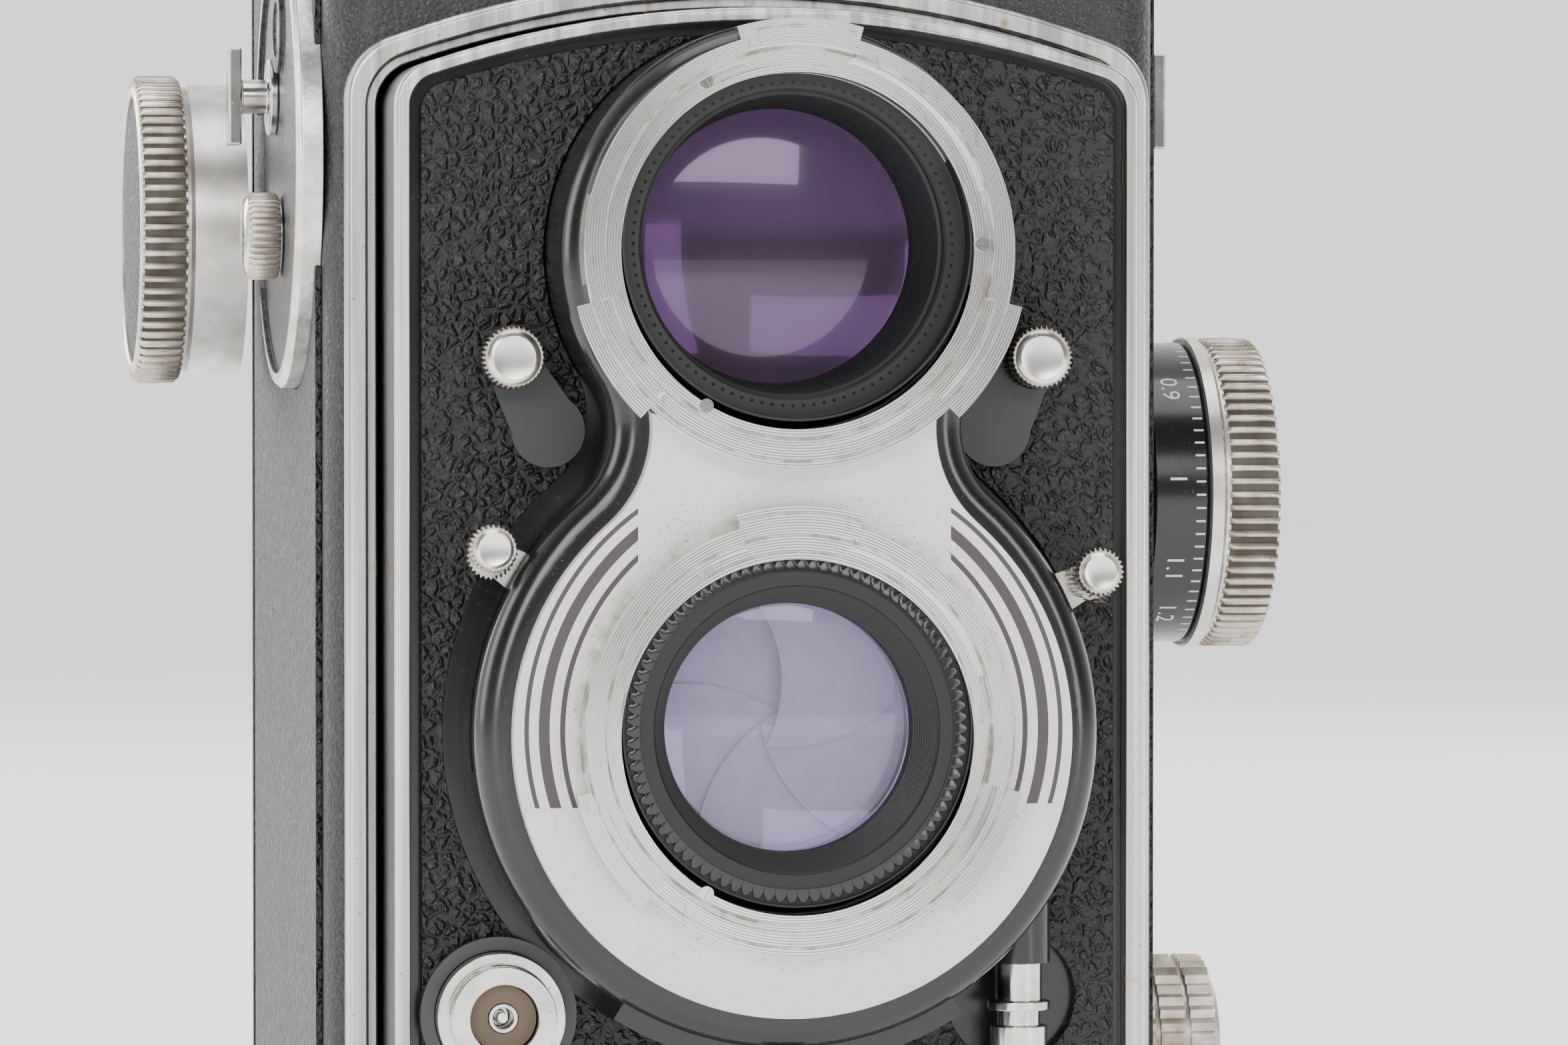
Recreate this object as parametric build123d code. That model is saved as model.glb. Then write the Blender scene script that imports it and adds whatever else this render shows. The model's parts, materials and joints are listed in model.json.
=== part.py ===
"""Twin lens reflex camera, built as separate pieces in one frame.

Origin: mouth of the tripod socket, at the bottom centre. +Z is up, the lenses face -Y and the
film advance knob stands on the -X side. All sizes are millimetres. The lens board is drawn
6 mm out from infinity focus and the viewing hood is drawn folded.
"""
import math
import os

from build123d import *

# ---------------------------------------------------------------- driving dimensions
BODY_HALF_W = 37.9          # casting side faces
FRONT_Y = -35.0             # casting front face
REAR_Y = 35.0               # rear cover's outer face
BODY_LOW_Z = 4.8
BODY_TOP_Z = 125.0
WALL = 3.9                  # casting side wall
FRONT_WALL = 3.0
CORNER_R = 5.0
LEATHER_T = 0.6
GAP = 0.4                   # clearance between pieces that move past each other
RUN = 0.05                  # radial clearance of a shaft in its bore

TAKING_Z = 51.0             # taking lens axis
LENS_PITCH = 42.0           # taking axis to viewing axis
VIEWING_Z = TAKING_Z + LENS_PITCH
FILM_Y = 27.0
MIRROR_T = 1.0
MIRROR_LOW_Y = -21.6
MIRROR_HIGH_Y = 20.5
STUB_R = 1.2                # stub shafts of the counter
ROLLER_PIN_R = 1.0
PARTITION_T = 1.2
HORN_HALF = 13.0            # narrow end of the light box
FRAME_SIDE = 56.0           # picture side on 120 roll film

ARCH_R = 95.0               # crown radius of the front frame and lens board
BEZEL_HALF_W = 36.46
BEZEL_T = 2.3
BOARD_HALF_W = 33.2
BOARD_LOW_Z = 14.0
BOARD_CREST_Z = TAKING_Z + 63.7
BOARD_REACH = 13.0          # board front ahead of the casting front
BOARD_CORNER_R = 4.0
TRIM_W = 1.25
TRIM_T = 2.0
GROOVE_W = 1.0
BOARD_PLATE_T = 2.0
SKIRT_T = 1.4
FOCUS_IN = 6.0              # board travel back to infinity
FOCUS_OUT = 1.6

HOUSING_TAKING_R = 27.5
HOUSING_VIEWING_R = 20.0
HOUSING_WAIST_R = 8.0
HOUSING_EDGE_R = 2.4
HOUSING_REACH = 24.0
HOUSING_WALL = 3.2
CHIN_R = 29.0
PLATE_INSET = 3.0           # rim of the housing left round the face plate
PLATE_T = 2.0
RING_REACH = 29.0
RING_R = 18.8
LOBE_R = 20.0
LOBE_HALF_DEG = 16.0
LOBE_T = 1.6
RING_RECESS_R = 16.9
RING_BORE_R = 15.4
RING_RECESS_D = 1.2

BLADE_COUNT = 5
BLADE_T = 0.35
BLADE_STEP = 0.55
BLADE_PIVOT_R = 16.5
BLADE_CLEAR_R = 11.3        # opening the blades leave when swung out
BLADE_SWING = 42.0          # degrees
BLADE_PIN_R = 0.8
CASE_R = 22.3
CASE_WALL = 1.0

LEVER_RING_R = 23.8
LEVER_RING_W = 1.4
LEVER_RING_T = 0.8

SPOOL_R = 12.5
SPOOL_LEN = 65.6
TAKE_UP_Y = 19.0
TAKE_UP_Z = TAKING_Z + 45.1
SUPPLY_Y = -10.0
SUPPLY_Z = TAKING_Z - 32.0
FOCUS_Y = -14.0
FOCUS_Z = TAKING_Z + 20.2
CAM_LOW_R = 4.0
CAM_RISE = (FOCUS_IN + FOCUS_OUT) / math.radians(300)   # mm per radian
CAM_X = 26.5
CAM_T = 2.5
CAM_REACH = 14.0            # room left round the cams
SHAFT_R = 2.0

ADVANCE_R = 14.85
ADVANCE_DRUM_R = 13.9
ADVANCE_RIM = 4.5
ADVANCE_OUT = 13.0
FOCUS_R = 14.5
FOCUS_OUT_X = 12.5
SUPPLY_R = 8.5
SUPPLY_OUT = 9.0
STEM_R = 3.0                # stems of the two spool knobs
KNURL_TEETH = 60

PANEL_R = 21.0
PANEL_Y = -11.0
PANEL_Z = TAKING_Z + 51.0
PANEL_T = 2.4
DIAL_Z = PANEL_Z + 6.0
DIAL_R = 9.2
WINDOW_Z = DIAL_Z + 6.0
WINDOW_R = 2.6

ROLLER_R = 2.4
COVER_T = 2.5
COVER_LOW_Z = 1.0
COVER_FLOOR_T = 3.5
HINGE_Z = BODY_TOP_Z - 3.0
HINGE_PIN_R = 1.0
HINGE_R = 2.0
SOCKET_R = 3.175            # quarter inch tripod thread
SOCKET_DEPTH = 5.2
LATCH_R = 15.0

HOOD_HALF_W = 34.0
HOOD_FRONT_Y = -33.0
HOOD_REAR_Y = 26.0
HOOD_BASE_T = 5.0
HOOD_TOP_Z = BODY_TOP_Z + 20.0
HOOD_SHEET = 0.8
HOOD_WALL = 1.2
FLAP_LEN = 29.0
SCREEN_HALF_W = 29.0        # opening for the viewing screen
SCREEN_FRONT_Y = -26.0
SCREEN_REAR_Y = 24.0

# ---------------------------------------------------------------- derived places
SIDE_X = BODY_HALF_W + LEATHER_T
BOARD_FRONT_Y = FRONT_Y - BOARD_REACH
TRIM_BACK_Y = BOARD_FRONT_Y + TRIM_T
BOARD_BACK_Y = TRIM_BACK_Y + BOARD_PLATE_T
SKIRT_BACK_Y = FRONT_Y + 4.0
OPENING_HALF_W = BOARD_HALF_W + GAP
HOUSING_FRONT_Y = FRONT_Y - HOUSING_REACH
RING_FRONT_Y = FRONT_Y - RING_REACH
RING_BACK_Y = HOUSING_FRONT_Y - PLATE_T
CAVITY_R = HOUSING_TAKING_R - HOUSING_WALL
REAR_IN_Y = REAR_Y - COVER_T
BODY_REAR_Y = REAR_IN_Y - GAP
PARTITION_Y = FRONT_Y + 10.5
PARTITION_BACK_Y = PARTITION_Y + PARTITION_T
FOCUS_END_X = -BODY_HALF_W + 1.0
RESET_Z = PANEL_Z - 7.0
CASE_FRONT_Y = HOUSING_FRONT_Y + 6.4
CASE_BACK_Y = CASE_FRONT_Y + 2 * CASE_WALL + BLADE_COUNT * BLADE_STEP + GAP
BARREL_R = RING_BORE_R - 0.1
HINGE_Y = BODY_REAR_Y - 2.2
COVER_TIP_Y = FRONT_Y + 4.0
LID_Y = HOOD_FRONT_Y + 0.6
LID_Z = HOOD_TOP_Z - 4.0
FLAP_Z = BODY_TOP_Z + HOOD_BASE_T + 2.0
FLAP_X = HOOD_HALF_W - 2.8
REAR_FLAP_Y = HOOD_REAR_Y - 1.5
REAR_FLAP_Z = FLAP_Z + 1.6
MAGNIFIER_Y = LID_Y + 33.0
MAGNIFIER_Z = LID_Z + 1.6
FLOOR_TOP_Z = COVER_LOW_Z + COVER_FLOOR_T
AXES_Z = (TAKING_Z, VIEWING_Z)


# ---------------------------------------------------------------- drawing helpers
def front(y):
    """Plane facing the front at depth y; local x is +X and local y is +Z."""
    return Plane(origin=(0, y, 0), x_dir=(1, 0, 0), z_dir=(0, -1, 0))


def slab(outline, y_front, y_back):
    """Solid from a front-view outline, between two depths."""
    return extrude(front(y_back) * outline, amount=y_back - y_front, dir=(0, -1, 0))


def block(x0, x1, y0, y1, z0, z1):
    """Rectangular solid from its six face places."""
    centre = Location(((x0 + x1) / 2, (y0 + y1) / 2, (z0 + z1) / 2))
    return centre * Box(x1 - x0, y1 - y0, z1 - z0)


def rod_x(radius, x0, x1, y, z):
    """Round bar along X."""
    return Location(((x0 + x1) / 2, y, z), (0, 90, 0)) * Cylinder(radius, abs(x1 - x0))


def rod_y(radius, y0, y1, x, z):
    """Round bar along Y."""
    return Location((x, (y0 + y1) / 2, z), (90, 0, 0)) * Cylinder(radius, abs(y1 - y0))


def rod_z(radius, z0, z1, x, y):
    """Round bar along Z."""
    return Location((x, y, (z0 + z1) / 2)) * Cylinder(radius, abs(z1 - z0))


def tube_y(outer, inner, y0, y1, z, x=0.0):
    """Round tube along Y."""
    return rod_y(outer, y0, y1, x, z) - rod_y(inner, y0 - 1, y1 + 1, x, z)


def cone_y(r_front, r_back, y_front, y_back, z):
    """Tapered plug along Y."""
    place = Location((0, (y_front + y_back) / 2, z), (90, 0, 0))
    return place * Cone(r_back, r_front, y_back - y_front)


def arch(half_w, low_z, crest_z, corner_r):
    """Front-view outline with a crowned top and round corners."""
    tall = crest_z - low_z
    sheet = Pos(0, (crest_z + low_z) / 2) * Rectangle(2 * half_w, tall)
    crown = Pos(0, crest_z - ARCH_R) * Circle(ARCH_R)
    base = Pos(0, low_z + tall / 4) * Rectangle(2 * half_w, tall / 2)
    outline = (sheet & crown) + base
    return fillet(outline.vertices(), radius=corner_r)


def star(radius, depth, teeth):
    """Outline of a knurled rim."""
    points = []
    for i in range(2 * teeth):
        r = radius if i % 2 == 0 else radius - depth
        angle = math.pi * i / teeth
        points.append((r * math.cos(angle), r * math.sin(angle)))
    return Polygon(*points, align=None)


def knurl_x(radius, x0, x1, y, z, teeth, depth=0.45):
    """Knurled ring along X."""
    face = Plane(origin=(x0, y, z), x_dir=(0, 1, 0), z_dir=(1, 0, 0)) * star(radius, depth, teeth)
    return extrude(face, amount=x1 - x0, dir=(1, 0, 0))


def knurl_y(radius, y_front, y_back, x, z, teeth, depth=0.3):
    """Knurled ring along Y."""
    return slab(Pos(x, z) * star(radius, depth, teeth), y_front, y_back)


def sector(r_in, r_out, mid_deg, half_deg, z=TAKING_Z):
    """Front-view outline of a piece of a ring."""
    steps = 8
    angles = [math.radians(mid_deg + half_deg * (2 * i / steps - 1)) for i in range(steps + 1)]
    reach = r_out / math.cos(math.radians(half_deg / steps)) + 2
    points = [(0, 0)] + [(reach * math.cos(a), reach * math.sin(a)) for a in angles]
    wedge = Polygon(*points, align=None)
    return Pos(0, z) * (wedge & (Circle(r_out) - Circle(r_in)))


def figure_eight(taking_r, viewing_r, waist_r):
    """Outline round both lens axes, its waists arcs that run tangent to the two circles."""
    near, far = taking_r + waist_r, viewing_r + waist_r
    rise = (near ** 2 - far ** 2) / (2 * LENS_PITCH) + LENS_PITCH / 2
    reach = math.sqrt(near ** 2 - rise ** 2)
    waist_z = TAKING_Z + rise
    kite = Polygon((0, TAKING_Z), (reach, waist_z), (0, VIEWING_Z), (-reach, waist_z), align=None)
    outline = kite + Pos(0, TAKING_Z) * Circle(taking_r) + Pos(0, VIEWING_Z) * Circle(viewing_r)
    for side in (-1, 1):
        outline -= Pos(side * reach, waist_z) * Circle(waist_r)
    return outline


def save(shape, node):
    """Write one node's solids."""
    export_step(shape, os.path.join("parts", node + ".step"))


# ---------------------------------------------------------------- body
def body_casting():
    """Hollow casting: front, sides, top and inner partition; open at the rear and below."""
    shell = block(-BODY_HALF_W, BODY_HALF_W, FRONT_Y, BODY_REAR_Y, BODY_LOW_Z, BODY_TOP_Z)
    corners = shell.edges().filter_by(Axis.Z).sort_by(Axis.Y)[:2]
    shell = fillet(corners, radius=CORNER_R)
    inner = BODY_HALF_W - WALL
    shell -= block(-inner, inner, FRONT_Y + FRONT_WALL, REAR_Y, 0, BODY_TOP_Z - FRONT_WALL)
    opening = arch(OPENING_HALF_W, BOARD_LOW_Z - GAP, BOARD_CREST_Z + GAP, BOARD_CORNER_R)
    shell -= slab(opening, FRONT_Y - 1, FRONT_Y + FRONT_WALL + 1)
    screen = (-SCREEN_HALF_W, SCREEN_HALF_W, SCREEN_FRONT_Y, SCREEN_REAR_Y)
    shell -= block(*screen, BODY_TOP_Z - 5, BODY_TOP_Z + 1)
    partition = block(-inner - 0.5, inner + 0.5, PARTITION_Y, PARTITION_BACK_Y, BODY_LOW_Z, BODY_TOP_Z - 1)
    window = (TAKING_Z - HORN_HALF, TAKING_Z + HORN_HALF)
    partition -= block(-HORN_HALF, HORN_HALF, PARTITION_Y - 1, PARTITION_BACK_Y + 1, *window)
    partition -= rod_y(RING_BORE_R + 0.6, PARTITION_Y - 1, PARTITION_BACK_Y + 1, 0, VIEWING_Z)
    for side in (-1, 1):
        slot_x = side * (CAM_X + CAM_T / 2)
        slot_z = (FOCUS_Z - CAM_REACH, FOCUS_Z + CAM_REACH)
        partition -= block(slot_x - CAM_T, slot_x + CAM_T, PARTITION_Y - 1, PARTITION_BACK_Y + 1, *slot_z)
    shell += partition
    shell -= rod_x(SHAFT_R + RUN, FOCUS_END_X - GAP, BODY_HALF_W + 1, FOCUS_Y, FOCUS_Z)
    shell -= rod_x(SHAFT_R + RUN, -BODY_HALF_W - 1, -inner + 1, TAKE_UP_Y, TAKE_UP_Z)
    shell -= rod_x(STEM_R + RUN, inner - 1, BODY_HALF_W + 1, SUPPLY_Y, SUPPLY_Z)
    shell -= rod_x(STEM_R + RUN, inner - 1, BODY_HALF_W + 1, TAKE_UP_Y, TAKE_UP_Z)
    shell -= rod_x(STUB_R + RUN, -BODY_HALF_W - 1, -BODY_HALF_W + 2, PANEL_Y, DIAL_Z)
    for y, z in roller_places():
        shell -= rod_x(ROLLER_PIN_R + RUN, -inner - 2, inner + 2, y, z)
    shell -= block(-SIDE_X, SIDE_X, HINGE_Y - 3.5, REAR_Y, HINGE_Z - 2.6, BODY_TOP_Z + 1)
    shell += block(-BODY_HALF_W, BODY_HALF_W, FRONT_Y, COVER_TIP_Y - GAP, COVER_LOW_Z, BODY_LOW_Z)
    for side in (-1, 1):
        ear_x = sorted((side * (inner + 0.6), side * BODY_HALF_W))
        shell += rod_x(HINGE_R, ear_x[0], ear_x[1], HINGE_Y, HINGE_Z)
        shell += block(ear_x[0], ear_x[1], HINGE_Y - HINGE_R, HINGE_Y + HINGE_R, HINGE_Z - 4, HINGE_Z)
    return shell - cover_pin()


def roller_places():
    """Depth and height of the lower and upper film rollers."""
    y = FILM_Y - ROLLER_R
    return ((y, TAKING_Z - 37.0), (y, TAKING_Z + 32.2))


def light_box():
    """Tapered light shield from the taking lens to the film gate, with the mirror's seat."""
    y0 = PARTITION_BACK_Y
    y1 = FILM_Y - 1.5
    wide = FRAME_SIDE + 0.8
    outside = [(y0, 2 * HORN_HALF + 2.4), (y1, wide + 2.0)]
    inside = [(y0, 2 * HORN_HALF), (y1, wide)]
    horn, void = [loft([front(y) * (Pos(0, TAKING_Z) * Rectangle(w, w)) for y, w in ends])
                  for ends in (outside, inside)]
    horn -= void
    gate = block(-33.5, 33.5, y1, FILM_Y - 0.3, TAKING_Z - 32, TAKING_Z + 29.0)
    half = FRAME_SIDE / 2
    gate -= block(-half, half, y1 - 1, FILM_Y + 1, TAKING_Z - half, TAKING_Z + half)
    seat = mirror_plate(MIRROR_T, 0.9)
    return horn + gate + seat


def mirror_outline(y_low, y_high, drop, thickness):
    """Side outline of a plate lying along the 45 degree mirror plane."""
    lift = VIEWING_Z + 4.0 - drop * math.sqrt(2)
    points = [(y_low, y_low + lift), (y_high, y_high + lift)]
    t = thickness / math.sqrt(2)
    points += [(y_high + t, y_high + lift - t), (y_low + t, y_low + lift - t)]
    return points


def mirror_plate(drop, thickness):
    """Tapered plate under the viewing screen, narrow at its lower end."""
    y_low, y_high = MIRROR_LOW_Y, MIRROR_HIGH_Y
    side = Polygon(*mirror_outline(y_low, y_high, drop, thickness), align=None)
    face = Plane(origin=(-40, 0, 0), x_dir=(0, 1, 0), z_dir=(1, 0, 0)) * side
    plate = extrude(face, amount=80, dir=(1, 0, 0))
    taper = Polygon((-19, y_low - 4), (19, y_low - 4), (30, y_high + 4), (-30, y_high + 4), align=None)
    return plate & extrude(Plane.XY.offset(60) * taper, amount=80, dir=(0, 0, 1))


def focusing_screen():
    """Ground glass let into the top of the casting."""
    half = SCREEN_HALF_W - 0.1
    return block(-half, half, SCREEN_FRONT_Y + 0.1, SCREEN_REAR_Y - 0.1, BODY_TOP_Z - 1, BODY_TOP_Z + 0.2)


def front_bezel():
    """Bright raised frame round the front opening."""
    outer = arch(BEZEL_HALF_W, BOARD_LOW_Z - 3.6, BOARD_CREST_Z + 3.4, 6.0)
    inner = arch(OPENING_HALF_W, BOARD_LOW_Z - GAP, BOARD_CREST_Z + GAP, BOARD_CORNER_R)
    step = arch(OPENING_HALF_W + 1.0, BOARD_LOW_Z - GAP - 1.0, BOARD_CREST_Z + GAP + 1.0, BOARD_CORNER_R + 1)
    frame = slab(outer, FRONT_Y - BEZEL_T, FRONT_Y)
    frame = chamfer(frame.edges().group_by(Axis.Y)[0], length=0.4)
    frame -= slab(inner, FRONT_Y - BEZEL_T - 1, FRONT_Y + 1)
    return frame - slab(step, FRONT_Y - BEZEL_T - 1, FRONT_Y - 1.1)


def side_leather(side):
    """Covering of one side wall, cut clear of the knobs and the counter panel."""
    x0, x1 = sorted((side * BODY_HALF_W, side * SIDE_X))
    sheet = block(x0, x1, FRONT_Y + CORNER_R + 0.4, BODY_REAR_Y - 1.5, BODY_LOW_Z + 1, BODY_TOP_Z - 2)
    if side < 0:
        sheet -= rod_x(PANEL_R + 0.1, x0 - 1, x1 + 1, PANEL_Y, PANEL_Z)
        sheet -= rod_x(SHAFT_R + 1, x0 - 1, x1 + 1, TAKE_UP_Y, TAKE_UP_Z)
    else:
        sheet -= rod_x(SHAFT_R + 1, x0 - 1, x1 + 1, FOCUS_Y, FOCUS_Z)
        sheet -= rod_x(STEM_R + 1, x0 - 1, x1 + 1, SUPPLY_Y, SUPPLY_Z)
        sheet -= rod_x(8.0, x0 - 1, x1 + 1, TAKE_UP_Y, TAKE_UP_Z)
        sheet -= rod_x(4.2, x0 - 1, x1 + 1, PANEL_Y + 5, DIAL_Z)
    return sheet


def counter_panel():
    """Round raised panel over the film counter, cut clear of the advance knob."""
    x_out = -BODY_HALF_W - PANEL_T
    panel = rod_x(PANEL_R, x_out, -BODY_HALF_W, PANEL_Y, PANEL_Z)
    panel = chamfer(panel.edges().group_by(Axis.X)[0], length=0.5)
    panel -= rod_x(PANEL_R - 1.4, x_out - 1, x_out + 0.5, PANEL_Y, PANEL_Z)
    panel += rod_x(WINDOW_R + 1.4, x_out, -BODY_HALF_W, PANEL_Y, WINDOW_Z)
    panel -= rod_x(DIAL_R + GAP, -BODY_HALF_W - 1.2, -BODY_HALF_W + 1, PANEL_Y, DIAL_Z)
    panel -= rod_x(WINDOW_R, x_out - 1, -BODY_HALF_W, PANEL_Y, WINDOW_Z)
    panel -= rod_x(ADVANCE_R + GAP, x_out - 1, -BODY_HALF_W + 1, TAKE_UP_Y, TAKE_UP_Z)
    panel -= rod_x(STUB_R + RUN, x_out - 1, -BODY_HALF_W + 1, PANEL_Y, RESET_Z)
    return panel


def strap_lug(side):
    """T-headed stud that a strap clip hooks over."""
    y = PANEL_Y + 5.0
    base = side * BODY_HALF_W
    if side < 0:
        base = -BODY_HALF_W - PANEL_T + 0.5
    stud = rod_x(1.6, base, side * (SIDE_X + 5.0), y, DIAL_Z)
    foot = rod_x(3.6, base, base + side * 0.8, y, DIAL_Z)
    head_x = sorted((side * (SIDE_X + 4.6), side * (SIDE_X + 5.8)))
    return stud + foot + block(head_x[0], head_x[1], y - 1.8, y + 1.8, DIAL_Z - 4.5, DIAL_Z + 4.5)


def hood_base():
    """Low frame round the viewing screen that the hood folds into, with its hinge ears."""
    z1 = BODY_TOP_Z + HOOD_BASE_T
    frame = block(-HOOD_HALF_W, HOOD_HALF_W, HOOD_FRONT_Y, HOOD_REAR_Y, BODY_TOP_Z, z1)
    frame = fillet(frame.edges().filter_by(Axis.Z), radius=2.0)
    frame -= block(-HOOD_HALF_W + 2, HOOD_HALF_W - 2, HOOD_FRONT_Y + 2, HOOD_REAR_Y - 2, 0, z1 + 1)
    back_y = HOOD_FRONT_Y + 1.2
    frame += block(-HOOD_HALF_W + 3, HOOD_HALF_W - 3, HOOD_FRONT_Y, back_y, z1 - 1, LID_Z - 1.8)
    for side in (-1, 1):
        x0, x1 = sorted((side * (HOOD_HALF_W - 5.4), side * (HOOD_HALF_W - 3)))
        frame += block(x0, x1, HOOD_FRONT_Y, back_y, LID_Z - 3, LID_Z + 1)
        x0, x1 = sorted((side * (FLAP_X - 0.7), side * (FLAP_X + 0.9)))
        for y in (HOOD_FRONT_Y + 1.0, REAR_FLAP_Y + 0.2):
            frame += block(x0, x1, y, y + 1.0, z1 - 1, FLAP_Z + 0.9)
        x0, x1 = sorted((side * (HOOD_HALF_W - 6.0), side * (HOOD_HALF_W - 7.0)))
        frame += block(x0, x1, REAR_FLAP_Y - 0.6, HOOD_REAR_Y - 1, z1 - 1, REAR_FLAP_Z + 0.7)
    return frame - hood_pins()


def cover_pin():
    """Hinge pin of the rear cover."""
    return rod_x(HINGE_PIN_R, -BODY_HALF_W + 0.6, BODY_HALF_W - 0.6, HINGE_Y, HINGE_Z)


def hood_pins():
    """Hinge pins of the lid and the three flaps."""
    pins = rod_x(0.6, -HOOD_HALF_W + 3.4, HOOD_HALF_W - 3.4, LID_Y, LID_Z)
    pins += rod_x(0.4, -HOOD_HALF_W + 6.2, HOOD_HALF_W - 6.2, REAR_FLAP_Y, REAR_FLAP_Z)
    for side in (-1, 1):
        pins += rod_y(0.4, HOOD_FRONT_Y + 1.4, REAR_FLAP_Y + 0.9, side * FLAP_X, FLAP_Z)
    return pins


def hood_lid():
    """Top panel with side and rear skirts and a hinge barrel at the front."""
    low = BODY_TOP_Z + HOOD_BASE_T + 1.0
    front_y, rear_y = HOOD_FRONT_Y - 1.0, HOOD_REAR_Y + 1.0
    lid = block(-HOOD_HALF_W, HOOD_HALF_W, front_y, rear_y, low, HOOD_TOP_Z)
    lid = fillet(lid.edges().filter_by(Axis.Z), radius=2.0)
    lid = fillet(lid.faces().sort_by(Axis.Z)[-1].edges(), radius=1.0)
    inner = HOOD_HALF_W - 1.0
    lid -= block(-inner, inner, front_y - 1, rear_y - 1.0, low - 1, HOOD_TOP_Z - HOOD_WALL)
    lid -= block(-40, 40, front_y - 1, LID_Y + 2.4, low - 1, HOOD_TOP_Z - HOOD_WALL)
    reach = HOOD_HALF_W - 6
    lid += rod_x(1.4, -reach, reach, LID_Y, LID_Z)
    lid += block(-reach, reach, LID_Y - 1, LID_Y + 1, LID_Z, HOOD_TOP_Z - HOOD_WALL + 0.1)
    lid -= rod_x(0.6 + RUN, -HOOD_HALF_W, HOOD_HALF_W, LID_Y, LID_Z)
    for side in (-1, 1):
        x0, x1 = sorted((side * 10.8, side * 12.0))
        lid += block(x0, x1, MAGNIFIER_Y - 1, MAGNIFIER_Y + 1, MAGNIFIER_Z - 0.9, HOOD_TOP_Z - 1)
    return lid - rod_x(0.6 + RUN, -11.4, 11.4, MAGNIFIER_Y, MAGNIFIER_Z - 0.1)


def side_flap(side):
    """Side wall of the hood, cut back at both ends to pass the lid and the rear wall."""
    x = side * FLAP_X
    y0, y1 = HOOD_FRONT_Y + 2.5, REAR_FLAP_Y - 1.0
    points = [(x, y0), (x - side * 14, y0), (x - side * (FLAP_LEN - 0.5), y0 + 7.0),
              (x - side * (FLAP_LEN - 0.5), y1 - 25.0), (x - side * 1.0, y1), (x, y1)]
    sheet = Plane.XY.offset(FLAP_Z - HOOD_SHEET / 2) * Polygon(*points, align=None)
    flap = extrude(sheet, amount=HOOD_SHEET, dir=(0, 0, 1)) + rod_y(0.9, y0, y1, x, FLAP_Z)
    return flap - rod_y(0.4 + RUN, y0 - 1, y1 + 1, x, FLAP_Z)


def rear_flap():
    """Rear wall of the hood."""
    reach = HOOD_HALF_W - 7.4
    z0 = REAR_FLAP_Z - HOOD_SHEET / 2
    flap = block(-reach, reach, REAR_FLAP_Y - FLAP_LEN, REAR_FLAP_Y, z0, z0 + HOOD_SHEET)
    flap += rod_x(0.7, -reach, reach, REAR_FLAP_Y, REAR_FLAP_Z)
    return flap - rod_x(0.4 + RUN, -reach - 1, reach + 1, REAR_FLAP_Y, REAR_FLAP_Z)


def magnifier():
    """Swing-out focusing lens frame, its hinge stubs and its glass."""
    y1 = MAGNIFIER_Y + 23.0
    z0, z1 = MAGNIFIER_Z - 1.6, MAGNIFIER_Z - 0.1
    frame = block(-10, 10, MAGNIFIER_Y, y1, z0, z1)
    frame = fillet(frame.edges().filter_by(Axis.Z).sort_by(Axis.Y)[2:], radius=6.0)
    frame += rod_x(0.6, -11.2, 11.2, MAGNIFIER_Y, MAGNIFIER_Z - 0.1)
    frame -= rod_z(8.6, z0 - 1, z1 + 1, 0, y1 - 10.5)
    glass = rod_z(8.6, z0, z1, 0, y1 - 10.5)
    return frame, glass


# ---------------------------------------------------------------- lens board
def lens_board():
    """Shallow moving front: plate, skirt inside the bezel, and the two cam followers."""
    outline = arch(BOARD_HALF_W, BOARD_LOW_Z, BOARD_CREST_Z, BOARD_CORNER_R)
    hollow = arch(BOARD_HALF_W - SKIRT_T, BOARD_LOW_Z + SKIRT_T, BOARD_CREST_Z - SKIRT_T, BOARD_CORNER_R - 1)
    board = slab(outline, TRIM_BACK_Y, SKIRT_BACK_Y) - slab(hollow, BOARD_BACK_Y, SKIRT_BACK_Y + 1)
    board -= rod_y(CAVITY_R, TRIM_BACK_Y - 1, BOARD_BACK_Y + 1, 0, TAKING_Z)
    board -= rod_y(RING_BORE_R, TRIM_BACK_Y - 1, BOARD_BACK_Y + 1, 0, VIEWING_Z)
    end_y = FOCUS_Y - cam_radius(0) - GAP
    for side in (-1, 1):
        x0, x1 = sorted((side * CAM_X, side * (CAM_X + CAM_T)))
        board += block(x0, x1, BOARD_BACK_Y - 0.2, end_y, FOCUS_Z - 2, FOCUS_Z + 2)
    return board


def board_trim():
    """Bright raised edge of the lens board."""
    outer = arch(BOARD_HALF_W, BOARD_LOW_Z, BOARD_CREST_Z, BOARD_CORNER_R)
    inner_w = BOARD_HALF_W - TRIM_W
    inner = arch(inner_w, BOARD_LOW_Z + TRIM_W, BOARD_CREST_Z - TRIM_W, BOARD_CORNER_R - 1)
    trim = slab(outer, BOARD_FRONT_Y, TRIM_BACK_Y)
    trim = fillet(trim.edges().group_by(Axis.Y)[0], radius=0.35)
    return trim - slab(inner, BOARD_FRONT_Y - 1, TRIM_BACK_Y + 1)


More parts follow.
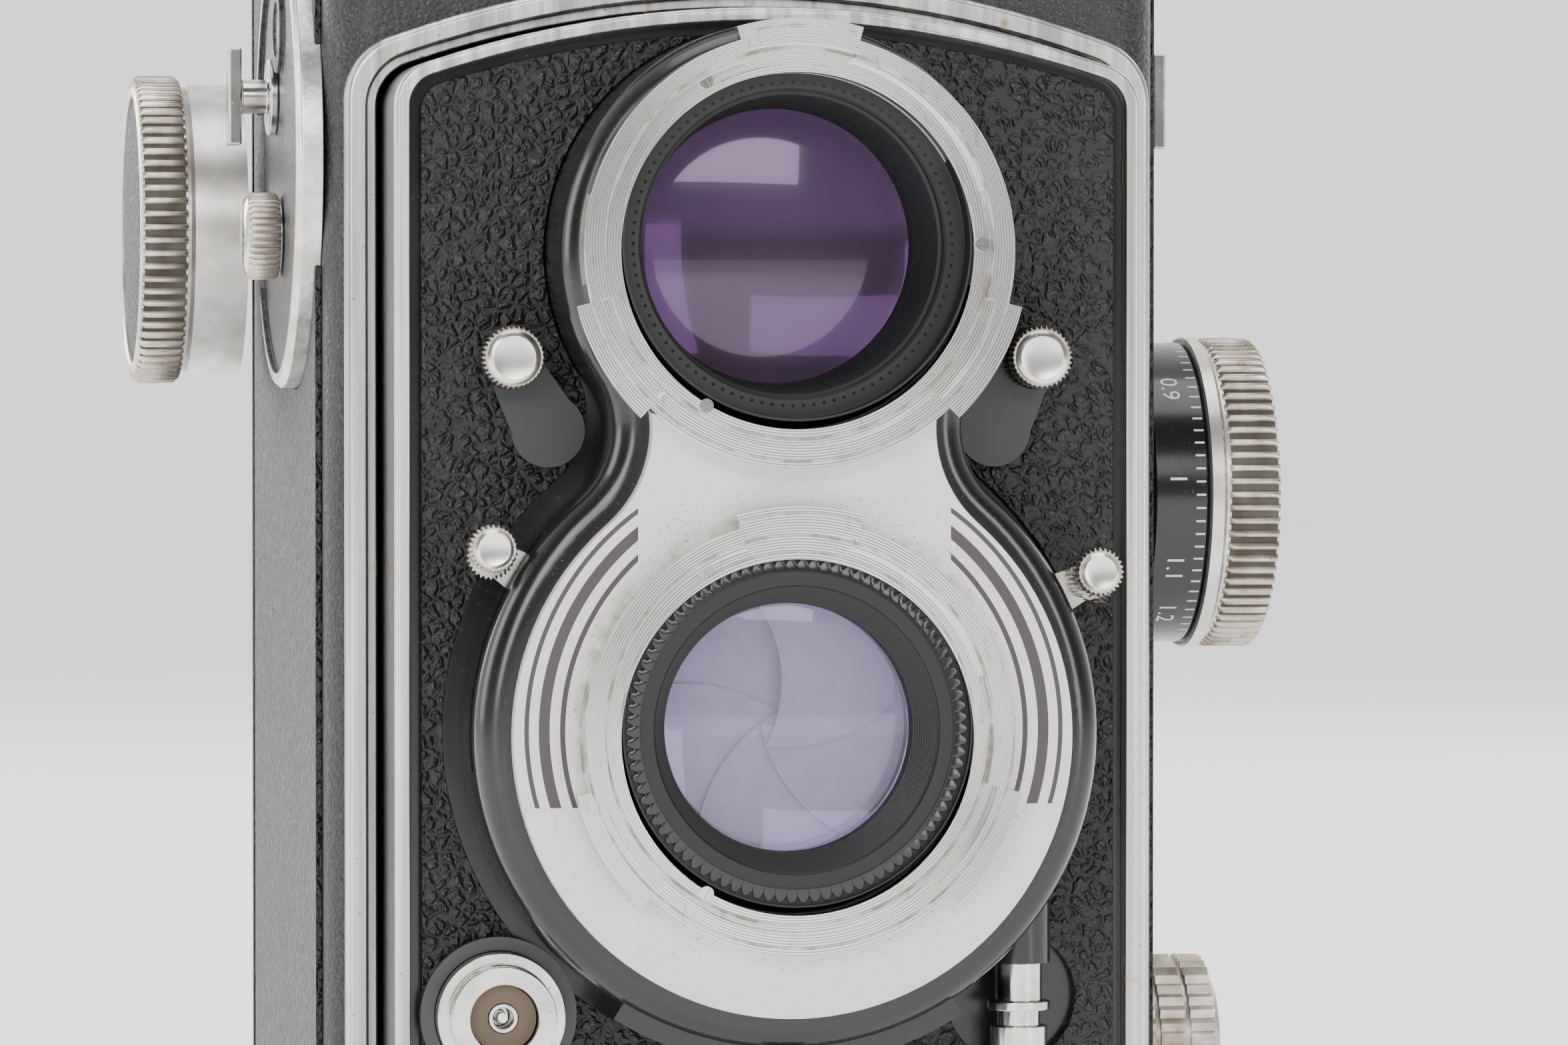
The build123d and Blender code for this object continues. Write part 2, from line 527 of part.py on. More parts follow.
def board_leather():
    """Covering inside the trim, cut to the shutter housing."""
    inset = TRIM_W + GROOVE_W
    outline = arch(BOARD_HALF_W - inset, BOARD_LOW_Z + inset, BOARD_CREST_Z - inset, BOARD_CORNER_R - 1.5)
    sheet = slab(outline, BOARD_FRONT_Y + 0.6, TRIM_BACK_Y)
    hole = figure_eight(CHIN_R + 0.1, HOUSING_VIEWING_R + 0.1, HOUSING_WAIST_R - 0.1)
    sheet -= slab(hole, BOARD_FRONT_Y - 1, TRIM_BACK_Y + 1)
    for x, z in (socket_place(), cable_place()):
        sheet -= rod_y(5.8, BOARD_FRONT_Y - 1, TRIM_BACK_Y + 1, x, z)
    for side in (-1, 1):
        x, z = selector_place(side)
        sheet -= rod_y(1.2, BOARD_FRONT_Y - 1, TRIM_BACK_Y + 1, x, z)
    return sheet


def socket_place():
    """Centre of the flash socket on the lens board."""
    return -24.3, TAKING_Z - 24.9


def cable_place():
    """Axis of the cable release socket."""
    return 21.7, TAKING_Z - 24.0


def selector_place(side):
    """Pivot of one of the two selector levers."""
    return side * 19.9, TAKING_Z + 26.4


def shutter_housing():
    """Black housing round both lenses, hollow behind its face, slotted for the levers."""
    outline = figure_eight(HOUSING_TAKING_R, HOUSING_VIEWING_R, HOUSING_WAIST_R)
    shell = slab(outline, HOUSING_FRONT_Y, TRIM_BACK_Y)
    shell = fillet(shell.edges().group_by(Axis.Y)[0], radius=HOUSING_EDGE_R)
    shell += slab(sector(20, CHIN_R, -90, 32), HOUSING_FRONT_Y + 1.5, TRIM_BACK_Y)
    shell -= rod_y(CAVITY_R, HOUSING_FRONT_Y + 2.0, TRIM_BACK_Y + 1, 0, TAKING_Z)
    for z in AXES_Z:
        shell -= rod_y(RING_BORE_R, HOUSING_FRONT_Y - 1, TRIM_BACK_Y + 1, 0, z)
    for y0, mid, half in lever_slots():
        cut = sector(CAVITY_R - 1, CHIN_R + 3, mid, half)
        shell -= slab(cut, y0 - GAP, y0 + LEVER_RING_T + GAP)
    x, z = cable_place()
    boss = rod_z(2.75, z + 3.4, TAKING_Z - 15.0, x, BOARD_FRONT_Y - 3.0)
    boss -= rod_y(CAVITY_R, HOUSING_FRONT_Y, TRIM_BACK_Y + 1, 0, TAKING_Z)
    return shell + boss


def lever_slots():
    """Front depth, middle angle and half angle of each slot in the housing wall."""
    y0 = HOUSING_FRONT_Y + 2.4
    return ((y0, -90.0, 30.0), (y0 + 1.6, 163.7, 23.0), (y0 + 3.2, 10.8, 23.0))


def ring_lever(y0, angle, knob_r, tip_r, knob_front, teeth):
    """Setting ring inside the housing with an arm and a knurled knob outside it."""
    ring = tube_y(LEVER_RING_R, LEVER_RING_R - LEVER_RING_W, y0, y0 + LEVER_RING_T, TAKING_Z)
    a = math.radians(angle)
    across = (-math.sin(a), math.cos(a))
    points = []
    for r, w in ((LEVER_RING_R - 1, 2.4), (tip_r, 1.4), (tip_r, -1.4), (LEVER_RING_R - 1, -2.4)):
        points.append((r * math.cos(a) + w * across[0], TAKING_Z + r * math.sin(a) + w * across[1]))
    x, z = tip_r * math.cos(a), TAKING_Z + tip_r * math.sin(a)
    arm = slab(Polygon(*points, align=None), y0, y0 + LEVER_RING_T)
    arm += rod_y(1.4, y0, y0 + LEVER_RING_T, x, z)
    knob = knurl_y(knob_r, knob_front, y0 + 0.1, x, z, teeth)
    return ring + arm + knob


def face_plate():
    """Light metal plate on the front of the housing, following its outline."""
    taking_r, viewing_r = HOUSING_TAKING_R - PLATE_INSET, HOUSING_VIEWING_R - PLATE_INSET
    outline = figure_eight(taking_r, viewing_r, HOUSING_WAIST_R + PLATE_INSET)
    plate = slab(outline, RING_BACK_Y, HOUSING_FRONT_Y)
    for z in AXES_Z:
        plate -= rod_y(RING_BORE_R, RING_BACK_Y - 1, HOUSING_FRONT_Y + 1, 0, z)
    return plate


def bayonet(z):
    """Outer bayonet ring with three lobes and a recessed seat."""
    ring = rod_y(RING_R, RING_FRONT_Y, RING_BACK_Y, 0, z)
    recess = Pos(0, z) * Circle(RING_RECESS_R)
    for angle in (90, 210, 330):
        ring += slab(sector(RING_R - 1, LOBE_R, angle, LOBE_HALF_DEG, z), RING_FRONT_Y, RING_FRONT_Y + LOBE_T)
        recess += sector(RING_RECESS_R - 1, RING_RECESS_R + 0.9, angle, LOBE_HALF_DEG, z)
    ring -= slab(recess, RING_FRONT_Y - 1, RING_FRONT_Y + RING_RECESS_D)
    return ring - rod_y(RING_BORE_R, RING_FRONT_Y - 1, RING_BACK_Y + 1, 0, z)


def viewing_barrel():
    """Stepped tube of the viewing lens, running back through the lens board."""
    y0, y1 = RING_FRONT_Y + 4.0, SKIRT_BACK_Y - 6.0
    barrel = rod_y(BARREL_R, y0, y1, 0, VIEWING_Z)
    barrel -= cone_y(13.2, 12.0, y0, y0 + 9.5, VIEWING_Z)
    barrel -= rod_y(12.4, y0 + 9.4, y0 + 15.0, 0, VIEWING_Z)
    return barrel - rod_y(11.0, y0, y1 + 1, 0, VIEWING_Z)


def lens(radius, crest_y, thickness, bulge, z):
    """Biconvex lens with its front crest at the given depth."""
    ball = (radius ** 2 + bulge ** 2) / (2 * bulge)
    glass = rod_y(radius, crest_y, crest_y + thickness, 0, z)
    glass &= Location((0, crest_y + ball, z)) * Sphere(ball)
    return glass & (Location((0, crest_y + thickness - ball, z)) * Sphere(ball))


def taking_barrel():
    """Front cell of the taking lens and the tube behind the shutter."""
    y0, y1 = RING_FRONT_Y + 1.7, CASE_FRONT_Y
    cell = rod_y(BARREL_R, y0, y1, 0, TAKING_Z)
    cell -= rod_y(14.3, y0 - 1, y0 + 0.8, 0, TAKING_Z)
    cell -= cone_y(12.4, 10.9, y0, y0 + 5.0, TAKING_Z)
    return cell - rod_y(10.9, y0, y1 + 1, 0, TAKING_Z)


def shutter_case():
    """Flat drum that carries the blade pins, open in the middle."""
    case = tube_y(CASE_R, BLADE_CLEAR_R, CASE_FRONT_Y, CASE_BACK_Y, TAKING_Z)
    case -= rod_y(CASE_R - CASE_WALL, CASE_FRONT_Y + CASE_WALL, CASE_BACK_Y - CASE_WALL, 0, TAKING_Z)
    case += tube_y(CAVITY_R - 0.1, CASE_R - 0.5, CASE_BACK_Y - 1.2, CASE_BACK_Y, TAKING_Z)
    for i in range(BLADE_COUNT):
        x, z = blade_pivot(i)
        case += rod_y(BLADE_PIN_R, CASE_FRONT_Y, CASE_BACK_Y, x, z)
    return case


def blade_pivot(i):
    """X and Z of a blade's pin."""
    angle = math.radians(90 - 360 / BLADE_COUNT * i)
    return BLADE_PIVOT_R * math.cos(angle), TAKING_Z + BLADE_PIVOT_R * math.sin(angle)


def shutter_blade(i):
    """Curved leaf that covers its fifth of the aperture and swings clear about its pin."""
    swing = math.radians(BLADE_SWING)
    own = (BLADE_PIVOT_R * (1 - math.cos(swing)), BLADE_PIVOT_R * math.sin(swing))
    turn = -2 * math.pi / BLADE_COUNT
    after = (own[0] * math.cos(turn) - own[1] * math.sin(turn),
             own[0] * math.sin(turn) + own[1] * math.cos(turn))
    leaf = Pos(*after) * Circle(BLADE_CLEAR_R + 1.8)
    leaf &= Pos(*own) * Circle(CASE_R - CASE_WALL - 0.4)
    leaf &= Circle(BLADE_CLEAR_R + 2.3)
    leaf += Pos(BLADE_PIVOT_R - 2.5, 0) * Rectangle(5, 3.6) + Pos(BLADE_PIVOT_R, 0) * Circle(2.1)
    leaf -= Pos(*own) * Circle(BLADE_CLEAR_R)
    leaf -= Pos(BLADE_PIVOT_R, 0) * Circle(BLADE_PIN_R + RUN)
    leaf = Rot(0, 0, 90 - 360 / BLADE_COUNT * i) * leaf
    y0 = CASE_FRONT_Y + CASE_WALL + 0.3 + i * BLADE_STEP
    return slab(Pos(0, TAKING_Z) * leaf, y0, y0 + BLADE_T)


def selector_lever(side):
    """Flat arm with a round end at its pivot and a knurled knob."""
    x, z = selector_place(side)
    kx, kz = x + side * 3.5, z + 6.4
    y1 = BOARD_FRONT_Y + 0.2
    y0 = y1 - 0.9
    a = math.atan2(kz - z, kx - x)
    nx, nz = -math.sin(a), math.cos(a)
    points = [(x + 3.1 * nx, z + 3.1 * nz), (kx + 2.2 * nx, kz + 2.2 * nz),
              (kx - 2.2 * nx, kz - 2.2 * nz), (x - 3.1 * nx, z - 3.1 * nz)]
    arm = slab(Polygon(*points, align=None) + Pos(x, z) * Circle(3.25), y0, y1)
    arm += rod_y(1.0, y0, TRIM_BACK_Y, x, z)
    return arm + knurl_y(2.8, FRONT_Y - 18.0, y0 + 0.1, kx, kz, 36)


def flash_socket():
    """Stepped coaxial flash terminal with its centre pin."""
    x, z = socket_place()
    y1 = TRIM_BACK_Y
    socket = rod_y(5.65, y1 - 5.0, y1, x, z) + rod_y(4.6, y1 - 7.0, y1, x, z)
    socket -= rod_y(3.0, y1 - 8, y1 - 2.5, x, z)
    socket += tube_y(1.3, 0.9, y1 - 6.0, y1 - 2.4, z, x)
    return socket + rod_y(0.5, y1 - 5.5, y1 - 2.4, x, z)


def socket_lock():
    """Small lever that turns on the flash socket."""
    x, z = socket_place()
    y1 = BOARD_FRONT_Y + 0.2
    a = math.radians(250)
    tip = (x + 9.1 * math.cos(a), z + 9.1 * math.sin(a))
    nx, nz = -math.sin(a), math.cos(a)
    points = [(x + 2.2 * nx, z + 2.2 * nz), (tip[0] + 1.5 * nx, tip[1] + 1.5 * nz),
              (tip[0] - 1.5 * nx, tip[1] - 1.5 * nz), (x - 2.2 * nx, z - 2.2 * nz)]
    lever = slab(Polygon(*points, align=None) + Pos(x, z) * Circle(6.9), y1 - 0.9, y1)
    lever += rod_y(1.5, y1 - 2.6, y1, tip[0], tip[1])
    return lever - rod_y(5.65 + RUN, y1 - 3, y1 + 1, x, z)


def cable_socket():
    """Release socket: dark collar, flange, neck and threaded cup opening downwards."""
    x, z = cable_place()
    y = BOARD_FRONT_Y - 3.0
    socket = rod_z(2.05, z, z + 3.4, x, y) + rod_z(2.75, z - 0.8, z, x, y)
    socket += rod_z(1.9, z - 2.2, z - 0.8, x, y) + rod_z(2.5, z - 7.0, z - 2.2, x, y)
    return socket - rod_z(1.65, z - 8, z - 2.0, x, y)


# ---------------------------------------------------------------- side controls
def cam_radius(turn):
    """Focus cam radius after a turn (radians) from the drawn position."""
    return CAM_LOW_R + FOCUS_IN + CAM_RISE * turn


def focus_camshaft():
    """Through shaft with a spiral cam at each end."""
    shaft = rod_x(SHAFT_R, FOCUS_END_X, SIDE_X + 1, FOCUS_Y, FOCUS_Z)
    low, high = -FOCUS_IN / CAM_RISE, FOCUS_OUT / CAM_RISE
    points = []
    steps = 48
    for i in range(steps + 1):
        turn = low + (high - low) * i / steps
        angle = math.pi - turn
        r = cam_radius(turn)
        points.append((r * math.cos(angle), r * math.sin(angle)))
    outline = Polygon(*points, align=None)
    for x0 in (-CAM_X - CAM_T, CAM_X):
        face = Plane(origin=(x0, FOCUS_Y, FOCUS_Z), x_dir=(0, 1, 0), z_dir=(1, 0, 0)) * outline
        shaft += extrude(face, amount=CAM_T, dir=(1, 0, 0))
    return shaft


def focus_knob():
    """Knurled focusing knob with a bright shoulder and a hollow for the covering disc."""
    x0, x1 = SIDE_X + 5.6, SIDE_X + FOCUS_OUT_X
    knob = rod_x(FOCUS_R, x0, x0 + 1.6, FOCUS_Y, FOCUS_Z)
    knob += knurl_x(FOCUS_R, x0 + 1.6, x1, FOCUS_Y, FOCUS_Z, KNURL_TEETH)
    knob -= rod_x(FOCUS_R - 1.8, x1 - 0.8, x1 + 1, FOCUS_Y, FOCUS_Z)
    knob += rod_x(3.0, SIDE_X + 0.3, x0, FOCUS_Y, FOCUS_Z)
    return knob - rod_x(SHAFT_R, 0, SIDE_X + 1, FOCUS_Y, FOCUS_Z)


def focus_scale():
    """Dark distance ring between the body and the knob."""
    x0, x1 = SIDE_X + 0.4, SIDE_X + 5.6
    ring = rod_x(FOCUS_R - 0.5, x0, x1, FOCUS_Y, FOCUS_Z)
    return ring - rod_x(3.0, x0 - 1, x1 + 1, FOCUS_Y, FOCUS_Z)


def advance_knob():
    """Film advance knob: smooth drum, knurled rim and a hollow for the covering disc."""
    x1, x0 = -SIDE_X - PANEL_T - 0.4, -SIDE_X - ADVANCE_OUT
    knob = rod_x(ADVANCE_DRUM_R, x0 + ADVANCE_RIM, x1, TAKE_UP_Y, TAKE_UP_Z)
    knob += knurl_x(ADVANCE_R, x0, x0 + ADVANCE_RIM, TAKE_UP_Y, TAKE_UP_Z, KNURL_TEETH)
    knob -= rod_x(ADVANCE_R - 1.8, x0 - 1, x0 + 0.8, TAKE_UP_Y, TAKE_UP_Z)
    return knob - rod_x(SHAFT_R + RUN, x1 - 3, x1 + 1, TAKE_UP_Y, TAKE_UP_Z)


def advance_shaft():
    """Shaft from the advance knob to the key that turns the take-up spool."""
    inner = SPOOL_LEN / 2
    shaft = rod_x(SHAFT_R, -SIDE_X - PANEL_T - 3.4, -inner, TAKE_UP_Y, TAKE_UP_Z)
    key = (TAKE_UP_Y - 0.6, TAKE_UP_Y + 0.6, TAKE_UP_Z - 3, TAKE_UP_Z + 3)
    return shaft + block(-inner - 0.2, -inner + 3, *key)


def take_up_spool():
    """Film spool with its two flanges and slotted ends."""
    half = SPOOL_LEN / 2
    spool = rod_x(6.0, -half, half, TAKE_UP_Y, TAKE_UP_Z)
    for x0 in (-half, half - 1.6):
        spool += rod_x(SPOOL_R, x0, x0 + 1.6, TAKE_UP_Y, TAKE_UP_Z)
    spool -= rod_x(STEM_R + 0.1, half - 4, half + 1, TAKE_UP_Y, TAKE_UP_Z)
    spool -= block(-half - 1, -half + 3, TAKE_UP_Y - 0.6, TAKE_UP_Y + 0.6, TAKE_UP_Z - 3, TAKE_UP_Z + 3)
    return spool


def pull_knob(radius, out, y, z, stem_end):
    """Knob whose stem holds a spool end and pulls out to free it."""
    x0 = SIDE_X + 0.4
    knob = rod_x(STEM_R, stem_end, x0 + 0.5, y, z)
    bands = 3 if out > 5 else 1
    width = (out - 0.4) / bands
    for i in range(bands):
        start = x0 + i * width
        knob += knurl_x(radius, start, start + width - 0.5, y, z, 40)
        knob += rod_x(radius - 0.7, start, start + width, y, z)
    return chamfer(knob.edges().group_by(Axis.X)[-1], length=0.3)


def counter_dial():
    """Film counter disc under the window, on its own stub shaft."""
    x0 = -BODY_HALF_W - 0.9
    disc = rod_x(DIAL_R, x0, x0 + 0.6, PANEL_Y, DIAL_Z)
    return disc + rod_x(STUB_R, x0 + 0.2, -BODY_HALF_W + 1.7, PANEL_Y, DIAL_Z)


def counter_window():
    """Clear disc over the counter dial."""
    x_out = -BODY_HALF_W - PANEL_T
    return rod_x(WINDOW_R, x_out + 0.2, x_out + 0.8, PANEL_Y, WINDOW_Z)


def reset_knob():
    """Small knurled knob in the middle of the counter panel."""
    x1 = -BODY_HALF_W - PANEL_T + 0.3
    knob = knurl_x(4.1, x1 - 3.5, x1, PANEL_Y, RESET_Z, 32)
    return knob + rod_x(STUB_R, x1 - 0.5, -BODY_HALF_W - 0.3, PANEL_Y, RESET_Z)


def film_roller(i):
    """Idle roller at one end of the film gate."""
    y, z = roller_places()[i]
    inner = BODY_HALF_W - WALL
    return rod_x(ROLLER_R, -30, 30, y, z) + rod_x(ROLLER_PIN_R, -inner - 1.8, inner + 1.8, y, z)


# ---------------------------------------------------------------- rear cover
def rear_cover():
    """L-shaped door: rear wall and floor in one, with feet, hinge barrel and plate posts."""
    wall = block(-SIDE_X, SIDE_X, REAR_IN_Y, REAR_Y, COVER_LOW_Z, HINGE_Z + 0.5)
    wall = fillet(wall.edges().filter_by(Axis.Z).sort_by(Axis.Y)[2:], radius=1.6)
    floor = block(-SIDE_X, SIDE_X, COVER_TIP_Y, REAR_IN_Y + 0.5, COVER_LOW_Z, FLOOR_TOP_Z)
    cover = wall + floor
    reach = BODY_HALF_W - WALL - 0.2
    cover += rod_x(HINGE_R, -reach, reach, HINGE_Y, HINGE_Z)
    cover += block(-reach, reach, HINGE_Y, REAR_IN_Y + 0.2, HINGE_Z - 1.6, HINGE_Z + 0.3)
    cover -= rod_x(HINGE_PIN_R + RUN, -reach - 1, reach + 1, HINGE_Y, HINGE_Z)
    for x in (-24, 24):
        for z in (TAKING_Z - 22, TAKING_Z + 22):
            cover += rod_y(1.6, REAR_IN_Y - 2.0, REAR_IN_Y + 0.5, x, z)
    for x in (-31, 31):
        for y in (-25, 28):
            cover += rod_z(3.0, 0, COVER_LOW_Z + 0.5, x, y)
    cover -= rod_z(9.0, 0, COVER_LOW_Z + 0.8, 0, 0)
    return cover - rod_z(SOCKET_R + 2.0, 0, FLOOR_TOP_Z + 1, 0, 0)


def cover_leather():
    """Covering of the rear wall."""
    sheet = block(-SIDE_X + 3, SIDE_X - 3, REAR_Y, REAR_Y + LEATHER_T, COVER_LOW_Z + 6, HINGE_Z - 5)
    return fillet(sheet.edges().filter_by(Axis.Y), radius=3.0)


def tripod_socket():
    """Flanged bush with the blind tripod thread."""
    bush = rod_z(SOCKET_R + 2.0, 0, SOCKET_DEPTH + 1.0, 0, 0) + rod_z(9.0, 0, COVER_LOW_Z + 0.8, 0, 0)
    return bush - rod_z(SOCKET_R, -1, SOCKET_DEPTH, 0, 0)


def latch_ring():
    """Turning catch round the tripod socket that locks the cover, with its thumb tab."""
    z0, z1 = 0.15, COVER_LOW_Z - 0.05
    ring = rod_z(LATCH_R, z0, z1, 0, 0) - rod_z(9.0 + 0.1, -1, 3, 0, 0)
    tab = block(-5, 5, -LATCH_R - 5, -LATCH_R + 1.5, z0, z1)
    return ring + fillet(tab.edges().filter_by(Axis.Z), radius=2.0)


def pressure_plate():
    """Sprung plate that holds the film flat against the gate."""
    half = FRAME_SIDE / 2 + 2
    plate = block(-half, half, FILM_Y + 0.3, FILM_Y + 1.5, TAKING_Z - half, TAKING_Z + half)
    return fillet(plate.edges().filter_by(Axis.Y), radius=2.0)


# ---------------------------------------------------------------- output
def main():
    """Write every piece."""
    os.makedirs("parts", exist_ok=True)
    save(body_casting(), "body_casting")
    save(light_box(), "light_box")
    save(front_bezel(), "front_bezel")
    save(side_leather(-1), "leather_left")
    save(side_leather(1), "leather_right")
    save(mirror_plate(0, MIRROR_T), "reflex_mirror")
    save(focusing_screen(), "focusing_screen")
    save(counter_panel(), "counter_panel")
    save(counter_window(), "counter_window")
    save(strap_lug(-1) + strap_lug(1), "strap_lugs")
    save(hood_base(), "hood_base")
    save(hood_pins() + cover_pin(), "hinge_pins")
    save(hood_lid(), "hood_lid")
    save(side_flap(-1), "hood_flap_left")
    save(side_flap(1), "hood_flap_right")
    save(rear_flap(), "hood_flap_rear")
    frame, glass = magnifier()
    save(frame, "magnifier_frame")
    save(glass, "magnifier_lens")
    save(lens_board(), "lens_board")
    save(board_trim(), "board_trim")
    save(board_leather(), "board_leather")
    save(shutter_housing(), "shutter_housing")
    save(face_plate(), "face_plate")
    save(bayonet(VIEWING_Z), "viewing_bayonet")
    save(bayonet(TAKING_Z), "taking_bayonet")
    save(viewing_barrel(), "viewing_barrel")
    save(lens(12.4, RING_FRONT_Y + 13.4, 5.6, 1.3, VIEWING_Z), "viewing_lens")
    save(taking_barrel(), "taking_barrel")
    save(lens(10.9, RING_FRONT_Y + 6.7, 4.0, 0.9, TAKING_Z), "taking_lens")
    save(shutter_case(), "shutter_case")
    for i in range(BLADE_COUNT):
        save(shutter_blade(i), "shutter_blade_" + str(i + 1))
    slots = lever_slots()
    save(ring_lever(slots[0][0], -90, 2.2, 32.0, slots[0][0] - 2.0, 28), "release_lever")
    save(ring_lever(slots[1][0], 148.7, 2.15, 30.1, FRONT_Y - 22.5, 28), "speed_lever")
    save(ring_lever(slots[2][0], 25.8, 2.15, 30.8, FRONT_Y - 22.5, 28), "aperture_lever")
    save(selector_lever(-1), "selector_left")
    save(selector_lever(1), "selector_right")
    save(flash_socket(), "flash_socket")
    save(socket_lock(), "socket_lock")
    save(cable_socket(), "cable_socket")
    save(focus_camshaft(), "focus_camshaft")
    save(focus_knob(), "focus_knob")
    save(focus_scale(), "focus_scale")
    save(advance_knob(), "advance_knob")
    save(advance_shaft(), "advance_shaft")
    save(take_up_spool(), "take_up_spool")
    save(pull_knob(SUPPLY_R, SUPPLY_OUT, SUPPLY_Y, SUPPLY_Z, BODY_HALF_W - WALL - 1), "supply_knob")
    save(pull_knob(7.5, 3.2, TAKE_UP_Y, TAKE_UP_Z, SPOOL_LEN / 2 - 2), "take_up_button")
    save(counter_dial(), "counter_dial")
    save(reset_knob(), "reset_knob")
    save(film_roller(0), "film_roller_lower")
    save(film_roller(1), "film_roller_upper")
    save(rear_cover(), "rear_cover")
    save(cover_leather(), "cover_leather")
    save(tripod_socket(), "tripod_socket")
    save(latch_ring(), "latch_ring")
    save(pressure_plate(), "pressure_plate")


main()
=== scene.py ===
"""Looks of a twin lens reflex camera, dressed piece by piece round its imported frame.

Lengths are metres in the frame's own axes: +Z up, the lenses face -Y.
"""
import json
import logging
import math
from dataclasses import dataclass, field
from enum import Enum
from typing import Callable, Iterable, Optional, Sequence, Union

import bmesh
import bpy
from mathutils import Matrix, Vector


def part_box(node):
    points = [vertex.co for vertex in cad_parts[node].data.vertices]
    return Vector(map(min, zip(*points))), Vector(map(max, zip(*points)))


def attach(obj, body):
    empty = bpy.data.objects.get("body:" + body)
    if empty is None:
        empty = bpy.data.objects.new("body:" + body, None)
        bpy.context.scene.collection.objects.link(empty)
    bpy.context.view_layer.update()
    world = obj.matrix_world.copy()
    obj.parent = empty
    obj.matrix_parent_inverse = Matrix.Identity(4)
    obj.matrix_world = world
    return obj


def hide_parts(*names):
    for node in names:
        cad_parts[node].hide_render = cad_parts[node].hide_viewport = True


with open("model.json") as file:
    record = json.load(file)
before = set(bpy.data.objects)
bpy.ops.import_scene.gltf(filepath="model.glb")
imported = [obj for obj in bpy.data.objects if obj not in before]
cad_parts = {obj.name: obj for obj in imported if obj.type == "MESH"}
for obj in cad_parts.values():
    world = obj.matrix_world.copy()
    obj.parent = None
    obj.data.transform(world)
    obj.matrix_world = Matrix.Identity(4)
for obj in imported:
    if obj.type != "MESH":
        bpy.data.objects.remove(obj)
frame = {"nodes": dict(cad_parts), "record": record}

LOG = logging.getLogger("camera")
MM = 0.001
GRID_PITCH = 9.5 * MM
GRID_LINE = 0.012
DIRT = (0.10, 0.085, 0.07)
FINE_TURN, FACE_TURN, SMALL_TURN = 144, 96, 64
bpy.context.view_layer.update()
Profile = Sequence[tuple[float, float]]
Number = Union[float, "Scalar"]


# ------------------------------------------------------------------ shader expressions
def operator(operation: str, swap: bool = False) -> Callable[["Scalar", Number], "Scalar"]:
    """Make a method of Scalar from one operation of the Math node."""

    def combine(self: "Scalar", other: Number) -> "Scalar":
        """Combine this scalar with a number or another scalar."""
        return self.math(operation, other, swap=swap)

    return combine


class Scalar:
    """A number that varies over a surface, usable in Python expressions."""

    def __init__(self, tree: bpy.types.NodeTree, socket: bpy.types.NodeSocket) -> None:
        """Wrap one output socket of a node tree."""
        self.tree = tree
        self.socket = socket

    def math(self, operation: str, *others: Number, swap: bool = False) -> "Scalar":
        """Add a Math node.

        Args:
            operation: name of the Math node's operation.
            others: further operands, numbers or scalars.
            swap: put this scalar second instead of first.

        Returns:
            The result as a new scalar.
        """
        node = self.tree.nodes.new("ShaderNodeMath")
        node.operation = operation
        operands = [self, *others]
        if swap:
            operands.reverse()
        for slot, operand in zip(node.inputs, operands):
            if isinstance(operand, Scalar):
                self.tree.links.new(operand.socket, slot)
            else:
                slot.default_value = operand
        return Scalar(self.tree, node.outputs[0])

    __add__ = __radd__ = operator("ADD")
    __sub__ = operator("SUBTRACT")
    __rsub__ = operator("SUBTRACT", swap=True)
    __mul__ = __rmul__ = operator("MULTIPLY")
    __gt__ = operator("GREATER_THAN")
    __lt__ = operator("LESS_THAN")

    def __abs__(self) -> "Scalar":
        """Absolute value."""
        return self.math("ABSOLUTE")

    def step(self, low: float, high: float) -> "Scalar":
        """Ramp from 0 at low to 1 at high, held outside."""
        node = self.tree.nodes.new("ShaderNodeMapRange")
        self.tree.links.new(self.socket, node.inputs["Value"])
        node.inputs["From Min"].default_value = low
        node.inputs["From Max"].default_value = high
        return Scalar(self.tree, node.outputs[0])

    def smooth(self) -> "Scalar":
        """Round off a 0 to 1 ramp at both ends."""
        return self * self * (3.0 - self * 2.0)

    def band(self, low: float, high: float) -> "Scalar":
        """One between two values."""
        return (self > low) * (self < high)

    def bands(self, pairs: Sequence[tuple[float, float]]) -> "Scalar":
        """One between the two values of any pair."""
        total: Number = 0.0
        for low, high in pairs:
            total = self.band(low, high) + total
        return total

    def hypot(self, other: "Scalar") -> "Scalar":
        """Distance from the origin of the plane of two scalars."""
        return (self * self + other * other).math("SQRT")


